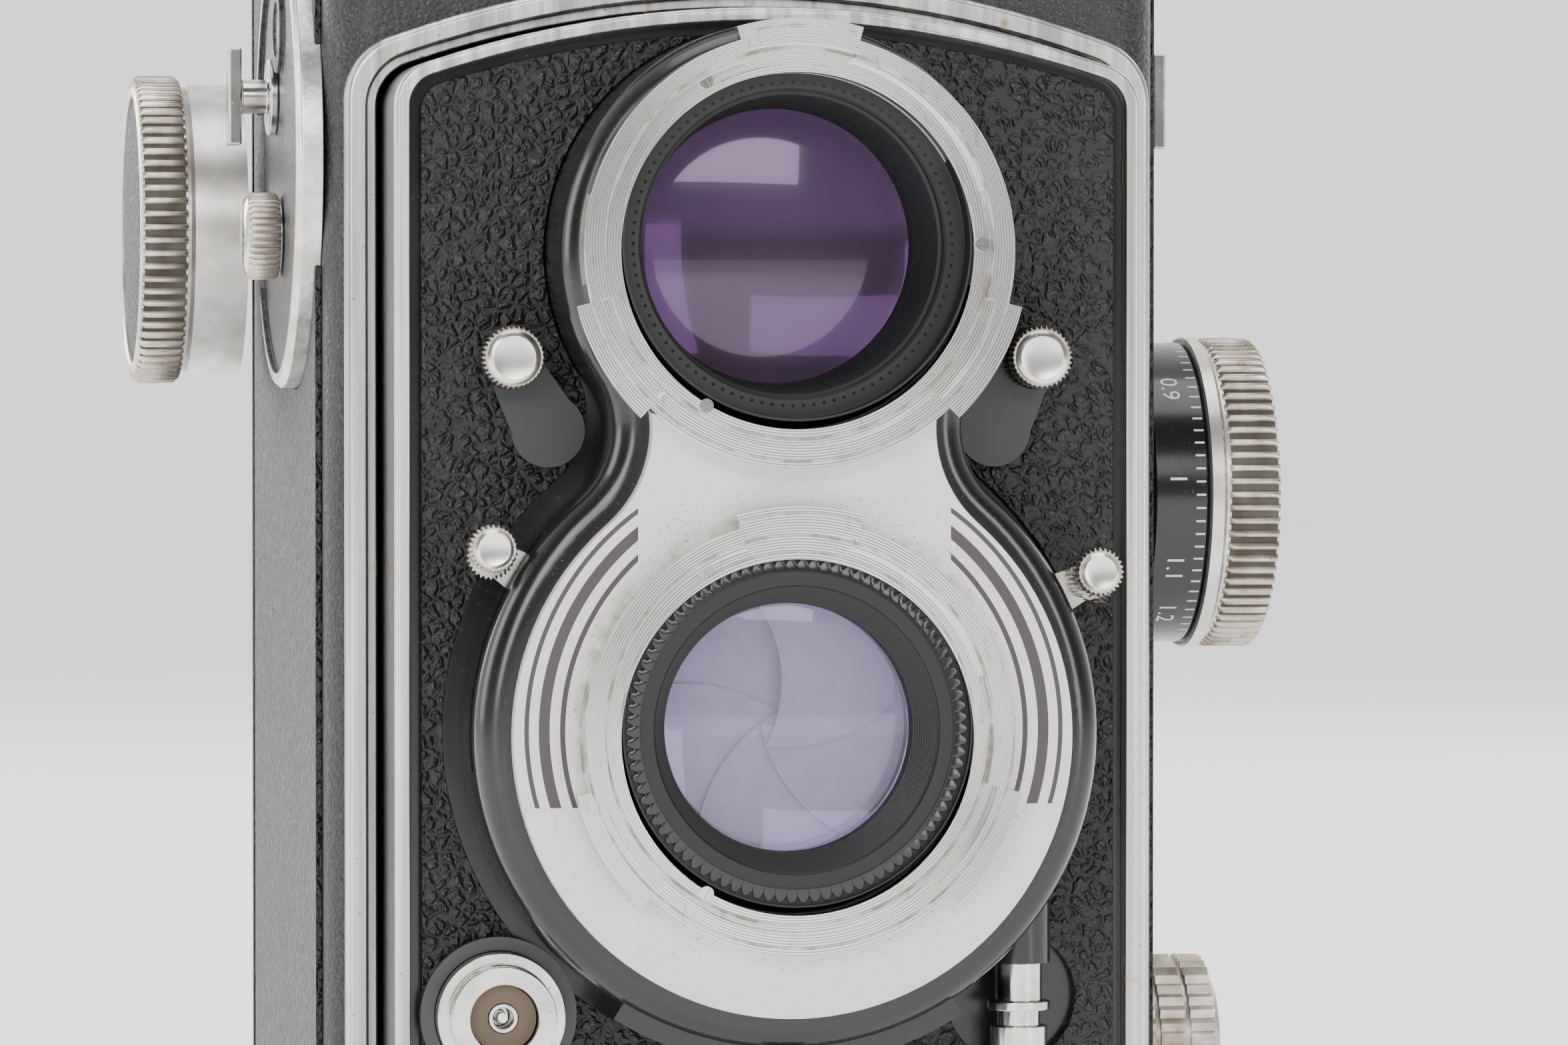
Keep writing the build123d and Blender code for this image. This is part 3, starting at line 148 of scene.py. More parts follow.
class Surface:
    """A material being built, with its shader and its coordinates."""

    def __init__(self, name: str) -> None:
        """Start a material with one Principled shader."""
        self.material = bpy.data.materials.new(name)
        self.material.use_nodes = True
        self.tree = self.material.node_tree
        self.shader = self.tree.nodes["Principled BSDF"]
        self.place = self.node("ShaderNodeTexCoord").outputs["Object"]

    def node(self, kind: str, settings: Optional[dict] = None, **inputs: object) -> bpy.types.Node:
        """Add a node.

        Args:
            kind: the node's type.
            settings: attributes set before its sockets are filled.
            inputs: socket names (spaces as underscores) with values, sockets or scalars.

        Returns:
            The new node.
        """
        made = self.tree.nodes.new(kind)
        for key, value in (settings or {}).items():
            setattr(made, key, value)
        for key, value in inputs.items():
            self.feed(made.inputs[key.replace("_", " ")], value)
        return made

    def feed(self, slot: bpy.types.NodeSocket, value: object) -> None:
        """Fill one socket with a constant, a socket or a scalar."""
        if isinstance(value, Scalar):
            self.tree.links.new(value.socket, slot)
        elif isinstance(value, bpy.types.NodeSocket):
            self.tree.links.new(value, slot)
        else:
            slot.default_value = value

    def set(self, **inputs: object) -> None:
        """Fill sockets of the Principled shader."""
        for key, value in inputs.items():
            self.feed(self.shader.inputs[key.replace("_", " ")], value)

    def axes(self) -> tuple[Scalar, Scalar, Scalar]:
        """X, Y and Z of the surface point."""
        node = self.node("ShaderNodeSeparateXYZ", Vector=self.place)
        return tuple(Scalar(self.tree, out) for out in node.outputs)

    def stretched(self, scale: Sequence[float]) -> bpy.types.NodeSocket:
        """Object coordinates with a scale for each axis."""
        return self.node("ShaderNodeMapping", Vector=self.place, Scale=scale).outputs[0]

    def noise(self, scale: float, detail: float = 3.0, stretch: Sequence[float] = (1, 1, 1)) -> Scalar:
        """Soft random pattern between 0 and 1."""
        made = self.node("ShaderNodeTexNoise", Vector=self.stretched(stretch), Scale=scale, Detail=detail)
        return Scalar(self.tree, made.outputs[0])

    def cells(self, scale: float, feature: str = "DISTANCE_TO_EDGE", bend: float = 0.0) -> Scalar:
        """Cell pattern, by distance to the cell's edge or centre.

        Args:
            scale: cells to a metre.
            feature: what is measured.
            bend: how far the cells are warped, as a share of a cell.

        Returns:
            The distance as a scalar.
        """
        place = self.place
        if bend:
            warp = self.node("ShaderNodeTexNoise", Vector=place, Scale=scale * 0.9, Detail=1.0).outputs[1]
            shift = self.node("ShaderNodeVectorMath", {"operation": "MULTIPLY_ADD"})
            self.feed(shift.inputs[0], warp)
            self.feed(shift.inputs[1], (2 * bend / scale,) * 3)
            self.feed(shift.inputs[2], place)
            place = shift.outputs[0]
        made = self.node("ShaderNodeTexVoronoi", {"feature": feature}, Vector=place, Scale=scale)
        return Scalar(self.tree, made.outputs["Distance"])

    def blend(self, factor: Number, low: object, high: object) -> bpy.types.NodeSocket:
        """Colour mixed between two colours or sockets."""
        made = self.tree.nodes.new("ShaderNodeMix")
        made.data_type = "RGBA"
        self.feed(made.inputs[0], factor)
        self.feed(made.inputs[6], rgba(low))
        self.feed(made.inputs[7], rgba(high))
        return made.outputs[2]

    def relief(self, height: Scalar, depth: float, strength: float = 1.0) -> None:
        """Bump the shader's normal."""
        bump = self.node("ShaderNodeBump", Height=height, Distance=depth, Strength=strength)
        self.set(Normal=bump.outputs[0])


def rgba(colour: object) -> object:
    """Give a plain colour its alpha; leave sockets alone."""
    if isinstance(colour, (tuple, list)) and len(colour) == 3:
        return (*colour, 1.0)
    return colour


# ------------------------------------------------------------------ finishes
class Grain(Enum):
    """What a finish is made of, by the name of the method that shades it."""

    PLAIN = "plain"
    CRACKLE = "crackle"
    PEBBLE = "pebble"
    BRUSHED = "brushed"
    TURNED = "turned"
    GLASS = "glass"
    GROUND = "ground"


class Look:
    """A surface look whose material is made at its first use."""

    @property
    def title(self) -> str:
        """Name of the material."""
        return self.name

    def material(self) -> bpy.types.Material:
        """Return the look's material, made once."""
        if self.title in bpy.data.materials:
            return bpy.data.materials[self.title]
        surface = Surface(self.title)
        self.shade(surface)
        return surface.material


@dataclass(frozen=True)
class Finish(Look):
    """One surface finish.

    Attributes:
        name: the material's name.
        slot: the record's material slot; not used.
        grain: kind of pattern.
        colour: main colour.
        second: colour of the pattern's other part.
        rough: roughness.
        metal: metallic value.
        size: size of the pattern's features in metres.
        depth: height of the pattern's relief in metres.
        wear: amount of dirt, pits or rubbing, 0 to 1.
        coat: clear coat weight.
    """

    name: str
    slot: str
    grain: Grain
    colour: tuple[float, float, float]
    second: tuple[float, float, float]
    rough: float = 0.4
    metal: float = 0.0
    size: float = 0.0008
    depth: float = 0.00003
    wear: float = 0.3
    coat: float = 0.0

    @property
    def title(self) -> str:
        """Name of the material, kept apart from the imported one's."""
        return self.name + "_finish"

    def shade(self, surface: Surface) -> None:
        """Build the shader."""
        surface.set(Metallic=self.metal)
        if self.coat:
            surface.set(Coat_Weight=self.coat, Coat_Roughness=0.12)
        getattr(self, self.grain.value)(surface)

    def soiled(self, surface: Surface, base: object, rough: Number) -> None:
        """Lay broad smudges and fine pits over a base colour."""
        smudge = surface.noise(60.0, 4.0).step(0.45, 0.75)
        pits = surface.noise(2600.0, 2.0).step(0.68, 0.74)
        toned = surface.blend(smudge * (0.5 * self.wear), base, self.second)
        dirty = surface.blend(pits * (0.7 * self.wear), toned, DIRT)
        surface.set(Base_Color=dirty, Roughness=smudge * (0.18 * self.wear) + pits * 0.15 + rough)

    def plain(self, surface: Surface) -> None:
        """Smooth finish with a faint orange peel."""
        self.soiled(surface, self.colour, self.rough)
        surface.relief(surface.noise(1.0 / self.size, 3.0), self.depth, 0.5)

    def crackle(self, surface: Surface) -> None:
        """Wrinkle paint: small glossy grains over a dark ground."""
        grains = surface.cells(1.0 / self.size, "F1")
        soft = surface.noise(0.7 / self.size, 3.0)
        height = (1.0 - grains) * 0.6 + soft
        fleck = surface.noise(2.2 / self.size, 2.0).step(0.60, 0.72)
        surface.set(Base_Color=surface.blend(fleck * 0.7, self.colour, self.second),
                    Roughness=soft * 0.35 + (self.rough - 0.15))
        surface.relief(height, self.depth)

    def pebble(self, surface: Surface) -> None:
        """Leatherette: rounded pebbles parted by fine creases, with painted shade that darkens the creases.
        """
        wide = surface.cells(1.0 / self.size, bend=0.55).step(0.0, 0.34).smooth()
        small = surface.cells(2.1 / self.size, bend=0.3).step(0.0, 0.25).smooth()
        fine = surface.noise(5.0 / self.size, 2.0)
        rubbed = surface.noise(120.0, 3.0).step(0.5, 0.8)
        creases = wide * 0.7 + wide * small * 0.3
        # Painted shade: the colour darkens to near black in the creases.
        shade = surface.blend(creases, (0.003, 0.003, 0.0032), self.colour)
        surface.set(Base_Color=surface.blend(rubbed * creases * (0.6 * self.wear), shade, self.second),
                    Roughness=self.rough + fine * 0.2 - creases * 0.14)
        surface.relief(creases + fine * 0.10, self.depth)

    def brushed(self, surface: Surface) -> None:
        """Metal with straight brush lines that run upwards, and rust specks."""
        lines = surface.noise(1.0, 4.0, (4200.0, 4200.0, 90.0))
        broad = surface.noise(1.0, 2.0, (900.0, 900.0, 14.0))
        base = surface.blend(broad.step(0.35, 0.65), self.second, self.colour)
        rust = surface.noise(230.0, 5.0).step(0.66, 0.72) * surface.noise(900.0, 3.0).step(0.42, 0.6)
        stained = surface.blend(rust * self.wear, base, (0.42, 0.19, 0.05))
        pits = surface.noise(2400.0, 2.0).step(0.70, 0.75)
        surface.set(Base_Color=surface.blend(pits * self.wear, stained, (0.16, 0.13, 0.11)),
                    Roughness=lines * 0.3 + rust * 0.3 + (self.rough - 0.12),
                    Metallic=(1.0 - rust * 0.9) * self.metal)
        surface.relief(lines, self.depth)

    def turned(self, surface: Surface) -> None:
        """Satin metal of turned parts, with stain in its recesses."""
        tone = surface.noise(420.0, 4.0)
        base = surface.blend(tone.step(0.35, 0.7), self.second, self.colour)
        self.soiled(surface, base, self.rough)
        surface.relief(surface.noise(1.0 / self.size, 3.0), self.depth, 0.4)

    def glass(self, surface: Surface) -> None:
        """Clear or coated glass with the least dust."""
        dust = surface.noise(900.0, 3.0).step(0.72, 0.8)
        surface.set(Base_Color=self.colour + (1.0,), Roughness=dust * 0.2 + self.rough,
                    Transmission_Weight=0.92, IOR=1.52, Specular_Tint=self.second + (1.0,),
                    Coat_Weight=self.coat, Coat_Tint=self.second + (1.0,))

    def ground(self, surface: Surface) -> None:
        """Ground glass with a ruled grid."""
        x, y, _ = surface.axes()
        ruled, crossed = (abs((axis * (1 / GRID_PITCH)).math("FRACT") - 0.5) < GRID_LINE for axis in (x, y))
        lines = ruled.math("MAXIMUM", crossed)
        surface.set(Base_Color=surface.blend(lines, self.colour, self.second), Roughness=self.rough,
                    Transmission_Weight=0.35, IOR=1.5)
        surface.relief(surface.noise(6000.0, 1.0), self.depth)


CRACKLE = Finish("crackle_paint", "crackle_paint", Grain.CRACKLE, (0.013, 0.012, 0.014), (0.12, 0.115, 0.115),
                 rough=0.44, size=0.00042, depth=0.00013)
LEATHER = Finish("leatherette", "leatherette", Grain.PEBBLE, (0.011, 0.011, 0.0115), (0.035, 0.034, 0.033),
                 rough=0.42, size=0.00115, depth=0.00026, wear=0.4)
BRIGHT = Finish("brushed_bright", "satin_alloy", Grain.BRUSHED, (0.78, 0.77, 0.74), (0.42, 0.41, 0.39),
                rough=0.34, metal=1.0, depth=0.000012, wear=0.75)
SATIN = Finish("satin_alloy", "satin_alloy", Grain.TURNED, (0.80, 0.79, 0.76), (0.62, 0.59, 0.55),
               rough=0.33, metal=1.0, size=0.00012, depth=0.000006, wear=0.5)
KNURL = Finish("knurled_alloy", "satin_alloy", Grain.TURNED, (0.74, 0.71, 0.66), (0.42, 0.36, 0.29),
               rough=0.34, metal=1.0, size=0.0002, depth=0.00001, wear=0.9)
CHROME = Finish("bright_metal", "bright_metal", Grain.TURNED, (0.82, 0.81, 0.79), (0.60, 0.58, 0.55),
                rough=0.16, metal=1.0, size=0.0004, depth=0.000004, wear=0.35)
STEEL = Finish("steel", "steel", Grain.TURNED, (0.50, 0.50, 0.49), (0.36, 0.35, 0.33),
               rough=0.32, metal=1.0, size=0.0003, depth=0.000006, wear=0.4)
BLACK = Finish("black_enamel", "black_paint", Grain.PLAIN, (0.008, 0.008, 0.0085), (0.03, 0.029, 0.028),
               rough=0.22, size=0.0006, depth=0.000012, wear=0.35, coat=0.25)
MATT = Finish("matt_black", "matt_black", Grain.PLAIN, (0.006, 0.006, 0.0063), (0.015, 0.015, 0.015),
              rough=0.5, size=0.0002, depth=0.00001, wear=0.2)
CHARCOAL = Finish("charcoal_lever", "dark_lever", Grain.PLAIN, (0.035, 0.036, 0.039), (0.09, 0.09, 0.09),
                  rough=0.35, size=0.0003, depth=0.00001, wear=0.6, coat=0.2)
BLADE = Finish("blade_steel", "blade_steel", Grain.TURNED, (0.55, 0.54, 0.51), (0.46, 0.45, 0.42),
               rough=0.45, metal=0.35, size=0.0002, depth=0.000004, wear=0.25)
COATED = Finish("coated_glass", "lens_glass", Grain.GLASS, (0.97, 0.96, 0.98), (0.74, 0.66, 1.0),
                rough=0.0, coat=0.35)
DEEP = Finish("deep_coated_glass", "lens_glass", Grain.GLASS, (0.55, 0.42, 0.56), (0.80, 0.62, 0.92),
              rough=0.0, coat=0.6)
CLEAR = Finish("clear_glass", "clear_glass", Grain.GLASS, (0.96, 0.97, 0.97), (1.0, 1.0, 1.0), rough=0.02)
GROUND = Finish("ground_glass", "screen_glass", Grain.GROUND, (0.72, 0.74, 0.73), (0.12, 0.12, 0.12),
                rough=0.6, depth=0.00002)
MIRROR = Finish("mirror", "mirror", Grain.TURNED, (0.93, 0.94, 0.94), (0.90, 0.91, 0.91),
                rough=0.01, metal=1.0, size=0.01, depth=0.0, wear=0.05)


@dataclass(frozen=True)
class PlateFinish(Look):
    """Silvered face plate with painted arcs at both sides, and painted shade with grime next to the bayonet
    ring.

    Attributes:
        centre: height of the taking axis.
        arcs: inner and outer radius of each painted arc.
        cut: distance from the middle line at which the arcs are cut off.
        low: height from the axis at which the arcs end.
        name: the material's name.
    """

    centre: float
    arcs: tuple[tuple[float, float], ...] = ((0.02005, 0.0205), (0.0214, 0.02235), (0.0232, 0.0236))
    cut: float = 0.0137
    low: float = -0.0066
    name: str = "face_plate_silver"

    def shade(self, surface: Surface) -> None:
        """Build the shader."""
        x, _, z = surface.axes()
        up = z - self.centre
        radius = x.hypot(up)
        painted = radius.bands(self.arcs) * (abs(x) > self.cut) * (up > self.low)
        pits = surface.noise(3200.0, 2.0).step(0.62, 0.70) * (1.0 - radius.step(0.0185, 0.0235) * 0.75)
        cloud = surface.noise(150.0, 4.0).step(0.3, 0.75)
        tone = surface.blend(cloud, (0.70, 0.69, 0.66), (0.80, 0.79, 0.76))
        # Painted shade and grime: the plate darkens in blotches next to the bayonet ring.
        painted_shade_and_grime = (1.0 - radius.step(0.0188, 0.0197)) * surface.noise(700.0, 4.0).step(0.35, 0.7)
        base = surface.blend((pits * 0.75).math("MAXIMUM", painted_shade_and_grime * 0.55), tone, (0.20, 0.17, 0.14))
        surface.set(Base_Color=surface.blend(painted, base, (0.06, 0.05, 0.055)), Roughness=0.42 + pits * 0.3,
                    Metallic=(1.0 - painted) * 0.3)
        surface.relief(1.0 - pits, 0.00002, 0.6)


@dataclass(frozen=True)
class RingFinish(Look):
    """Turned bayonet ring: bright lands with a painted reflection that sweeps round it, painted shade and
    stain in its steps, and fine turning lines.

    Attributes:
        name: the material's name.
        z: height of the ring's axis.
        steps: inner and outer radius of each line of painted shade and stain.
        turning: radians of the turning lines' wave to a metre.
    """

    name: str
    z: float
    steps: tuple[tuple[float, float], ...] = ((0.01672, 0.01702), (0.01538, 0.01552), (0.01865, 0.0189))
    turning: float = 26000.0

    def shade(self, surface: Surface) -> None:
        """Build the shader."""
        x, _, z = surface.axes()
        up = z - self.z
        radius = x.hypot(up)
        turn = up.math("ARCTAN2", x)
        lines = (radius * self.turning).math("SINE") * 0.5 + 0.5
        # Painted reflection: the base colour brightens and darkens with the angle round the axis, as a sweep
        # of reflected light.
        painted_sheen = abs((turn + 0.5).math("SINE"))
        # Painted shade and stain: lines broken up by noise darken the ring's steps.
        step_shade_and_stain = radius.bands(self.steps) * surface.noise(500.0, 4.0).step(0.30, 0.62)
        metal = surface.blend(painted_sheen * 0.8 + lines * 0.2, (0.50, 0.49, 0.47), (0.86, 0.85, 0.83))
        scratch = surface.noise(1400.0, 5.0, (1, 1, 0.25)).step(0.62, 0.70)
        scratched = surface.blend(scratch * 0.35, metal, (0.35, 0.33, 0.30))
        surface.set(Base_Color=surface.blend(step_shade_and_stain * 0.8, scratched, (0.13, 0.11, 0.09)),
                    Roughness=step_shade_and_stain * 0.3 + lines * 0.06 + 0.20, Metallic=1.0 - step_shade_and_stain * 0.7)
        surface.relief(lines, 0.000006)


@dataclass(frozen=True)
class PanelFinish(Look):
    """Dark wrinkled panel with a bright rim.

    Attributes:
        y: depth of the panel's middle.
        z: height of the panel's middle.
        radius: where the rim starts.
        name: the material's name.
    """

    y: float
    z: float
    radius: float
    name: str = "counter_panel_paint"

    def shade(self, surface: Surface) -> None:
        """Build the shader."""
        _, y, z = surface.axes()
        rim = (y - self.y).hypot(z - self.z) > self.radius
        grain = surface.cells(2200.0, "F1")
        soft = surface.noise(900.0, 3.0)
        paint = surface.blend(soft.step(0.4, 0.7), (0.022, 0.022, 0.024), (0.065, 0.065, 0.07))
        worn = surface.noise(300.0, 3.0).step(0.4, 0.7)
        metal = surface.blend(worn, (0.62, 0.60, 0.56), (0.84, 0.83, 0.80))
        surface.set(Base_Color=surface.blend(rim, paint, metal), Metallic=rim * 0.85 + 0.15,
                    Roughness=soft * 0.25 + 0.22)
        surface.relief((1.0 - grain) * (1.0 - rim) + soft, 0.00005)


# ------------------------------------------------------------------ mesh making
class Axis(Enum):
    """Direction that a round piece is turned about."""

    X = (1.0, 0.0, 0.0)
    Y = (0.0, 1.0, 0.0)
    Z = (0.0, 0.0, 1.0)


def link(name: str, data: bpy.types.ID) -> bpy.types.Object:
    """Put a mesh, curve, light or camera into the scene as a new object."""
    made = bpy.data.objects.new(name, data)
    bpy.context.scene.collection.objects.link(made)
    return made


def soften(bm: bmesh.types.BMesh, angle: float = 32.0) -> None:
    """Shade smooth, with sharp edges kept where faces meet at more than an angle in degrees."""
    limit = math.radians(angle)
    for face in bm.faces:
        face.smooth = True
    for edge in bm.edges:
        edge.smooth = edge.calc_face_angle(0.0) < limit


def placed(name: str, bm: bmesh.types.BMesh) -> bpy.types.Object:
    """Put a bmesh into the scene as it is, as a new object."""
    mesh = bpy.data.meshes.new(name)
    bm.to_mesh(mesh)
    bm.free()
    return link(name, mesh)


def from_bmesh(name: str, bm: bmesh.types.BMesh) -> bpy.types.Object:
    """Turn a bmesh into an object with outward faces."""
    bmesh.ops.remove_doubles(bm, verts=bm.verts, dist=1e-7)
    bmesh.ops.recalc_face_normals(bm, faces=bm.faces)
    soften(bm)
    return placed(name, bm)


def lathe(name: str, profile: Profile, axis: Axis, centre: Vector, steps: int = 120,
          closed: bool = False) -> bpy.types.Object:
    """Turn a profile about an axis.

    Args:
        name: the piece's name.
        profile: pairs of radius and distance along the axis.
        axis: direction of the axis.
        centre: point on the axis that distances are counted from.
        steps: number of facets round the axis.
        closed: join the profile's last point to its first, for a ring.

    Returns:
        The turned object.
    """
    along = Vector(axis.value)
    side = along.orthogonal().normalized()
    up = along.cross(side)
    bm = bmesh.new()
    rings = []
    for radius, height in profile:
        base = centre + along * height
        turns = 1 if radius == 0 else steps
        angles = [2 * math.pi * i / steps for i in range(turns)]
        rings.append([bm.verts.new(base + radius * (math.cos(a) * side + math.sin(a) * up)) for a in angles])
    pairs = list(zip(rings, rings[1:]))
    if closed:
        pairs.append((rings[-1], rings[0]))
    for near, far in pairs:
        for i in range(steps):
            j = (i + 1) % steps
            corners = [near[i % len(near)], near[j % len(near)], far[j % len(far)], far[i % len(far)]]
            unique = list(dict.fromkeys(corners))
            if len(unique) > 2:
                bm.faces.new(unique)
    return from_bmesh(name, bm)


def prism(bm: bmesh.types.BMesh, outline: Sequence[tuple[float, float]], low: float, high: float,
          to_world: Matrix) -> None:
    """Add a straight prism to a bmesh from a flat outline and two heights."""
    layers = [[bm.verts.new(to_world @ Vector((x, y, h))) for x, y in outline] for h in (low, high)]
    bm.faces.new(layers[0])
    bm.faces.new(layers[1])
    count = len(outline)
    for i in range(count):
        j = (i + 1) % count
        bm.faces.new((layers[0][i], layers[0][j], layers[1][j], layers[1][i]))


def joined(name: str, parts: Iterable[bpy.types.Object]) -> bpy.types.Object:
    """Join meshes into one piece and remove the originals."""
    bm = bmesh.new()
    for part in parts:
        bm.from_mesh(part.data)
        bpy.data.objects.remove(part)
    return placed(name, bm)


def turned_to(axis: Axis, centre: Vector) -> Matrix:
    """Matrix that takes a piece built round Z to another axis and centre."""
    turn = Vector((0, 0, 1)).rotation_difference(Vector(axis.value))
    return Matrix.Translation(centre) @ turn.to_matrix().to_4x4()


def scaled(*points: tuple[float, float]) -> Profile:
    """Profile in metres, from points in millimetres."""
    return [(radius * MM, height * MM) for radius, height in points]


class Place:
    """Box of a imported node, with the places that pieces are hung on."""

    def __init__(self, node: str) -> None:
        """Read a node's box."""
        low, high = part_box(node)
        self.low = Vector(low)
        self.high = Vector(high)

    @property
    def centre(self) -> Vector:
        """Middle of the box."""
        return (self.low + self.high) / 2

    @property
    def size(self) -> Vector:
        """Edge lengths of the box."""
        return self.high - self.low

    def at(self, axis: int, value: float) -> Vector:
        """Middle of the box with one coordinate set."""
        point = self.centre
        point[axis] = value
        return point


# ------------------------------------------------------------------ geometry nodes
class RingTree:
    """Node tree that repeats one small piece evenly round a circle about Z."""

    INPUTS = (("Count", "NodeSocketInt"), ("Radius", "NodeSocketFloat"), ("Piece", "NodeSocketObject"),
              ("Finish", "NodeSocketMaterial"), ("Jitter", "NodeSocketFloat"), ("Seed", "NodeSocketInt"))
    NODES = (("source", "NodeGroupInput"), ("circle", "GeometryNodeMeshCircle"),
             ("info", "GeometryNodeObjectInfo"), ("place", "GeometryNodeInputPosition"),
             ("turn", "FunctionNodeAlignEulerToVector"), ("spread", "FunctionNodeRandomValue"),
             ("scatter", "GeometryNodeInstanceOnPoints"), ("real", "GeometryNodeRealizeInstances"),
             ("dress", "GeometryNodeSetMaterial"), ("target", "NodeGroupOutput"), ("base", "ShaderNodeMath"))
    WIRES = (("source", "Count", "circle", "Vertices"), ("source", "Radius", "circle", "Radius"),
             ("source", "Piece", "info", "Object"), ("source", "Jitter", "base", 1),
             ("source", "Seed", "spread", "Seed"), ("base", 0, "spread", 2), ("place", 0, "turn", "Vector"),
             ("circle", "Mesh", "scatter", "Points"), ("info", "Geometry", "scatter", "Instance"),
             ("turn", 0, "scatter", "Rotation"), ("spread", 1, "scatter", "Scale"), ("scatter", 0, "real", 0),
             ("real", 0, "dress", "Geometry"), ("source", "Finish", "dress", "Material"),
             ("dress", 0, "target", 0))
    SEED = 7

    def __init__(self) -> None:
        """Build the tree once for the whole scene."""
        self.tree = bpy.data.node_groups.new("ring_of_pieces", "GeometryNodeTree")
        face = self.tree.interface
        self.sockets = {}
        for name, kind in self.INPUTS:
            self.sockets[name] = face.new_socket(name, in_out="INPUT", socket_type=kind).identifier
        face.new_socket("Geometry", in_out="OUTPUT", socket_type="NodeSocketGeometry")
        nodes = {name: self.tree.nodes.new(kind) for name, kind in self.NODES}
        nodes["turn"].axis = "X"
        nodes["spread"].data_type = "FLOAT"
        nodes["base"].operation = "SUBTRACT"
        nodes["base"].inputs[0].default_value = 1.0
        for start, out, end, slot in self.WIRES:
            self.tree.links.new(nodes[start].outputs[out], nodes[end].inputs[slot])
        nodes["spread"].inputs[3].default_value = 1.0

    def ring(self, name: str, piece: bpy.types.Object, count: int, radius: float, axis: Axis, centre: Vector,
             finish: Finish, body: str, jitter: float = 0.0) -> bpy.types.Object:
        """Repeat a piece round a circle and dress the whole ring.

        Args:
            name: the new object's name.
            piece: what is repeated, pointing outwards along +X; it is removed afterwards.
            count: how many.
            radius: the circle's radius.
            axis: the circle's axis.
            centre: the circle's centre.
            finish: the finish of every copy.
            body: the body that the ring rides on.
            jitter: largest shrink of a copy, as a share.

        Returns:
            A plain mesh object.
        """
        holder = link(name + "_maker", bpy.data.meshes.new(name))
        modifier = holder.modifiers.new("ring", "NODES")
        modifier.node_group = self.tree
        values = {"Count": count, "Radius": radius, "Piece": piece, "Finish": finish.material(),
                  "Jitter": jitter, "Seed": self.SEED}
        for key, value in values.items():
            modifier[self.sockets[key]] = value
        view = bpy.context.evaluated_depsgraph_get()
        mesh = bpy.data.meshes.new_from_object(holder.evaluated_get(view))
        bpy.data.objects.remove(holder)
        bpy.data.objects.remove(piece)
        mesh.transform(turned_to(axis, centre))
        bm = bmesh.new()
        bm.from_mesh(mesh)
        soften(bm, 40.0)
        bm.to_mesh(mesh)
        bm.free()
        return dress(link(name, mesh), finish, body)


RINGS = RingTree()


def ridge(width: float, depth: float, length: float, chamfer: float) -> bpy.types.Object:
    """One rounded knurl ridge that lies along Z and stands out along +X."""
    bm = bmesh.new()
    layers = []
    for height, share in ((-length / 2, 0.0), (-length / 2 + chamfer, 1.0), (length / 2 - chamfer, 1.0),
                          (length / 2, 0.0)):
        out = depth * (0.25 + 0.75 * share)
        points = ((-depth, -width / 2), (0.0, -width / 2), (out * 0.8, -width * 0.22), (out, 0.0),
                  (out * 0.8, width * 0.22), (0.0, width / 2), (-depth, width / 2))
        layers.append([bm.verts.new((x, y, height)) for x, y in points])
    for near, far in zip(layers, layers[1:]):
        for i in range(7):
            j = (i + 1) % 7
            bm.faces.new((near[i], near[j], far[j], far[i]))
    bm.faces.new(layers[0])
    bm.faces.new(layers[-1])
    return from_bmesh("ridge", bm)


def dot(radius: float) -> bpy.types.Object:
    """One small round stud."""
    bm = bmesh.new()
    bmesh.ops.create_icosphere(bm, subdivisions=1, radius=radius)
    return from_bmesh("dot", bm)


def screw(radius: float, height: float) -> bpy.types.Object:
    """Slotted screw head that stands along Z."""
    bm = bmesh.new()
    half_slot = 0.14 * radius
    sides = 10
    for sign in (-1, 1):
        start = math.asin(half_slot / radius)
        angles = [start + (math.pi - 2 * start) * i / sides for i in range(sides + 1)]
        outline = [(radius * math.cos(a), sign * radius * math.sin(a)) for a in angles]
        prism(bm, outline, 0.0, height, Matrix.Identity(4))
    core = radius * 0.98
    angles = [math.pi * i / sides for i in range(2 * sides)]
    outline = [(core * math.cos(a), core * math.sin(a)) for a in angles]
    prism(bm, outline, -height * 0.2, height * 0.55, Matrix.Identity(4))
    return from_bmesh("screw", bm)


# ------------------------------------------------------------------ dressing
def dress(piece: bpy.types.Object, finish: Look, body: str, *nodes: str,
          slot: Optional[str] = None) -> bpy.types.Object:
    """Give a piece its finish and body, and hide the nodes that it stands in for."""
    piece.data.materials.clear()
    piece.data.materials.append(finish.material())
    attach(piece, body)
    if nodes:
        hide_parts(*nodes)
    LOG.info("%s rides on %s", piece.name, body)
    return piece


def body_of(node: str) -> str:
    """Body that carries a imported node."""
    groups = frame["record"]["behaviour"]["bodies"]
    return next(name for name, members in groups.items() if node in members)


def paint(node: str, finish: Look) -> None:
    """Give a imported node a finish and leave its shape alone."""
    part = frame["nodes"][node]
    part.data.materials.clear()
    part.data.materials.append(finish.material())


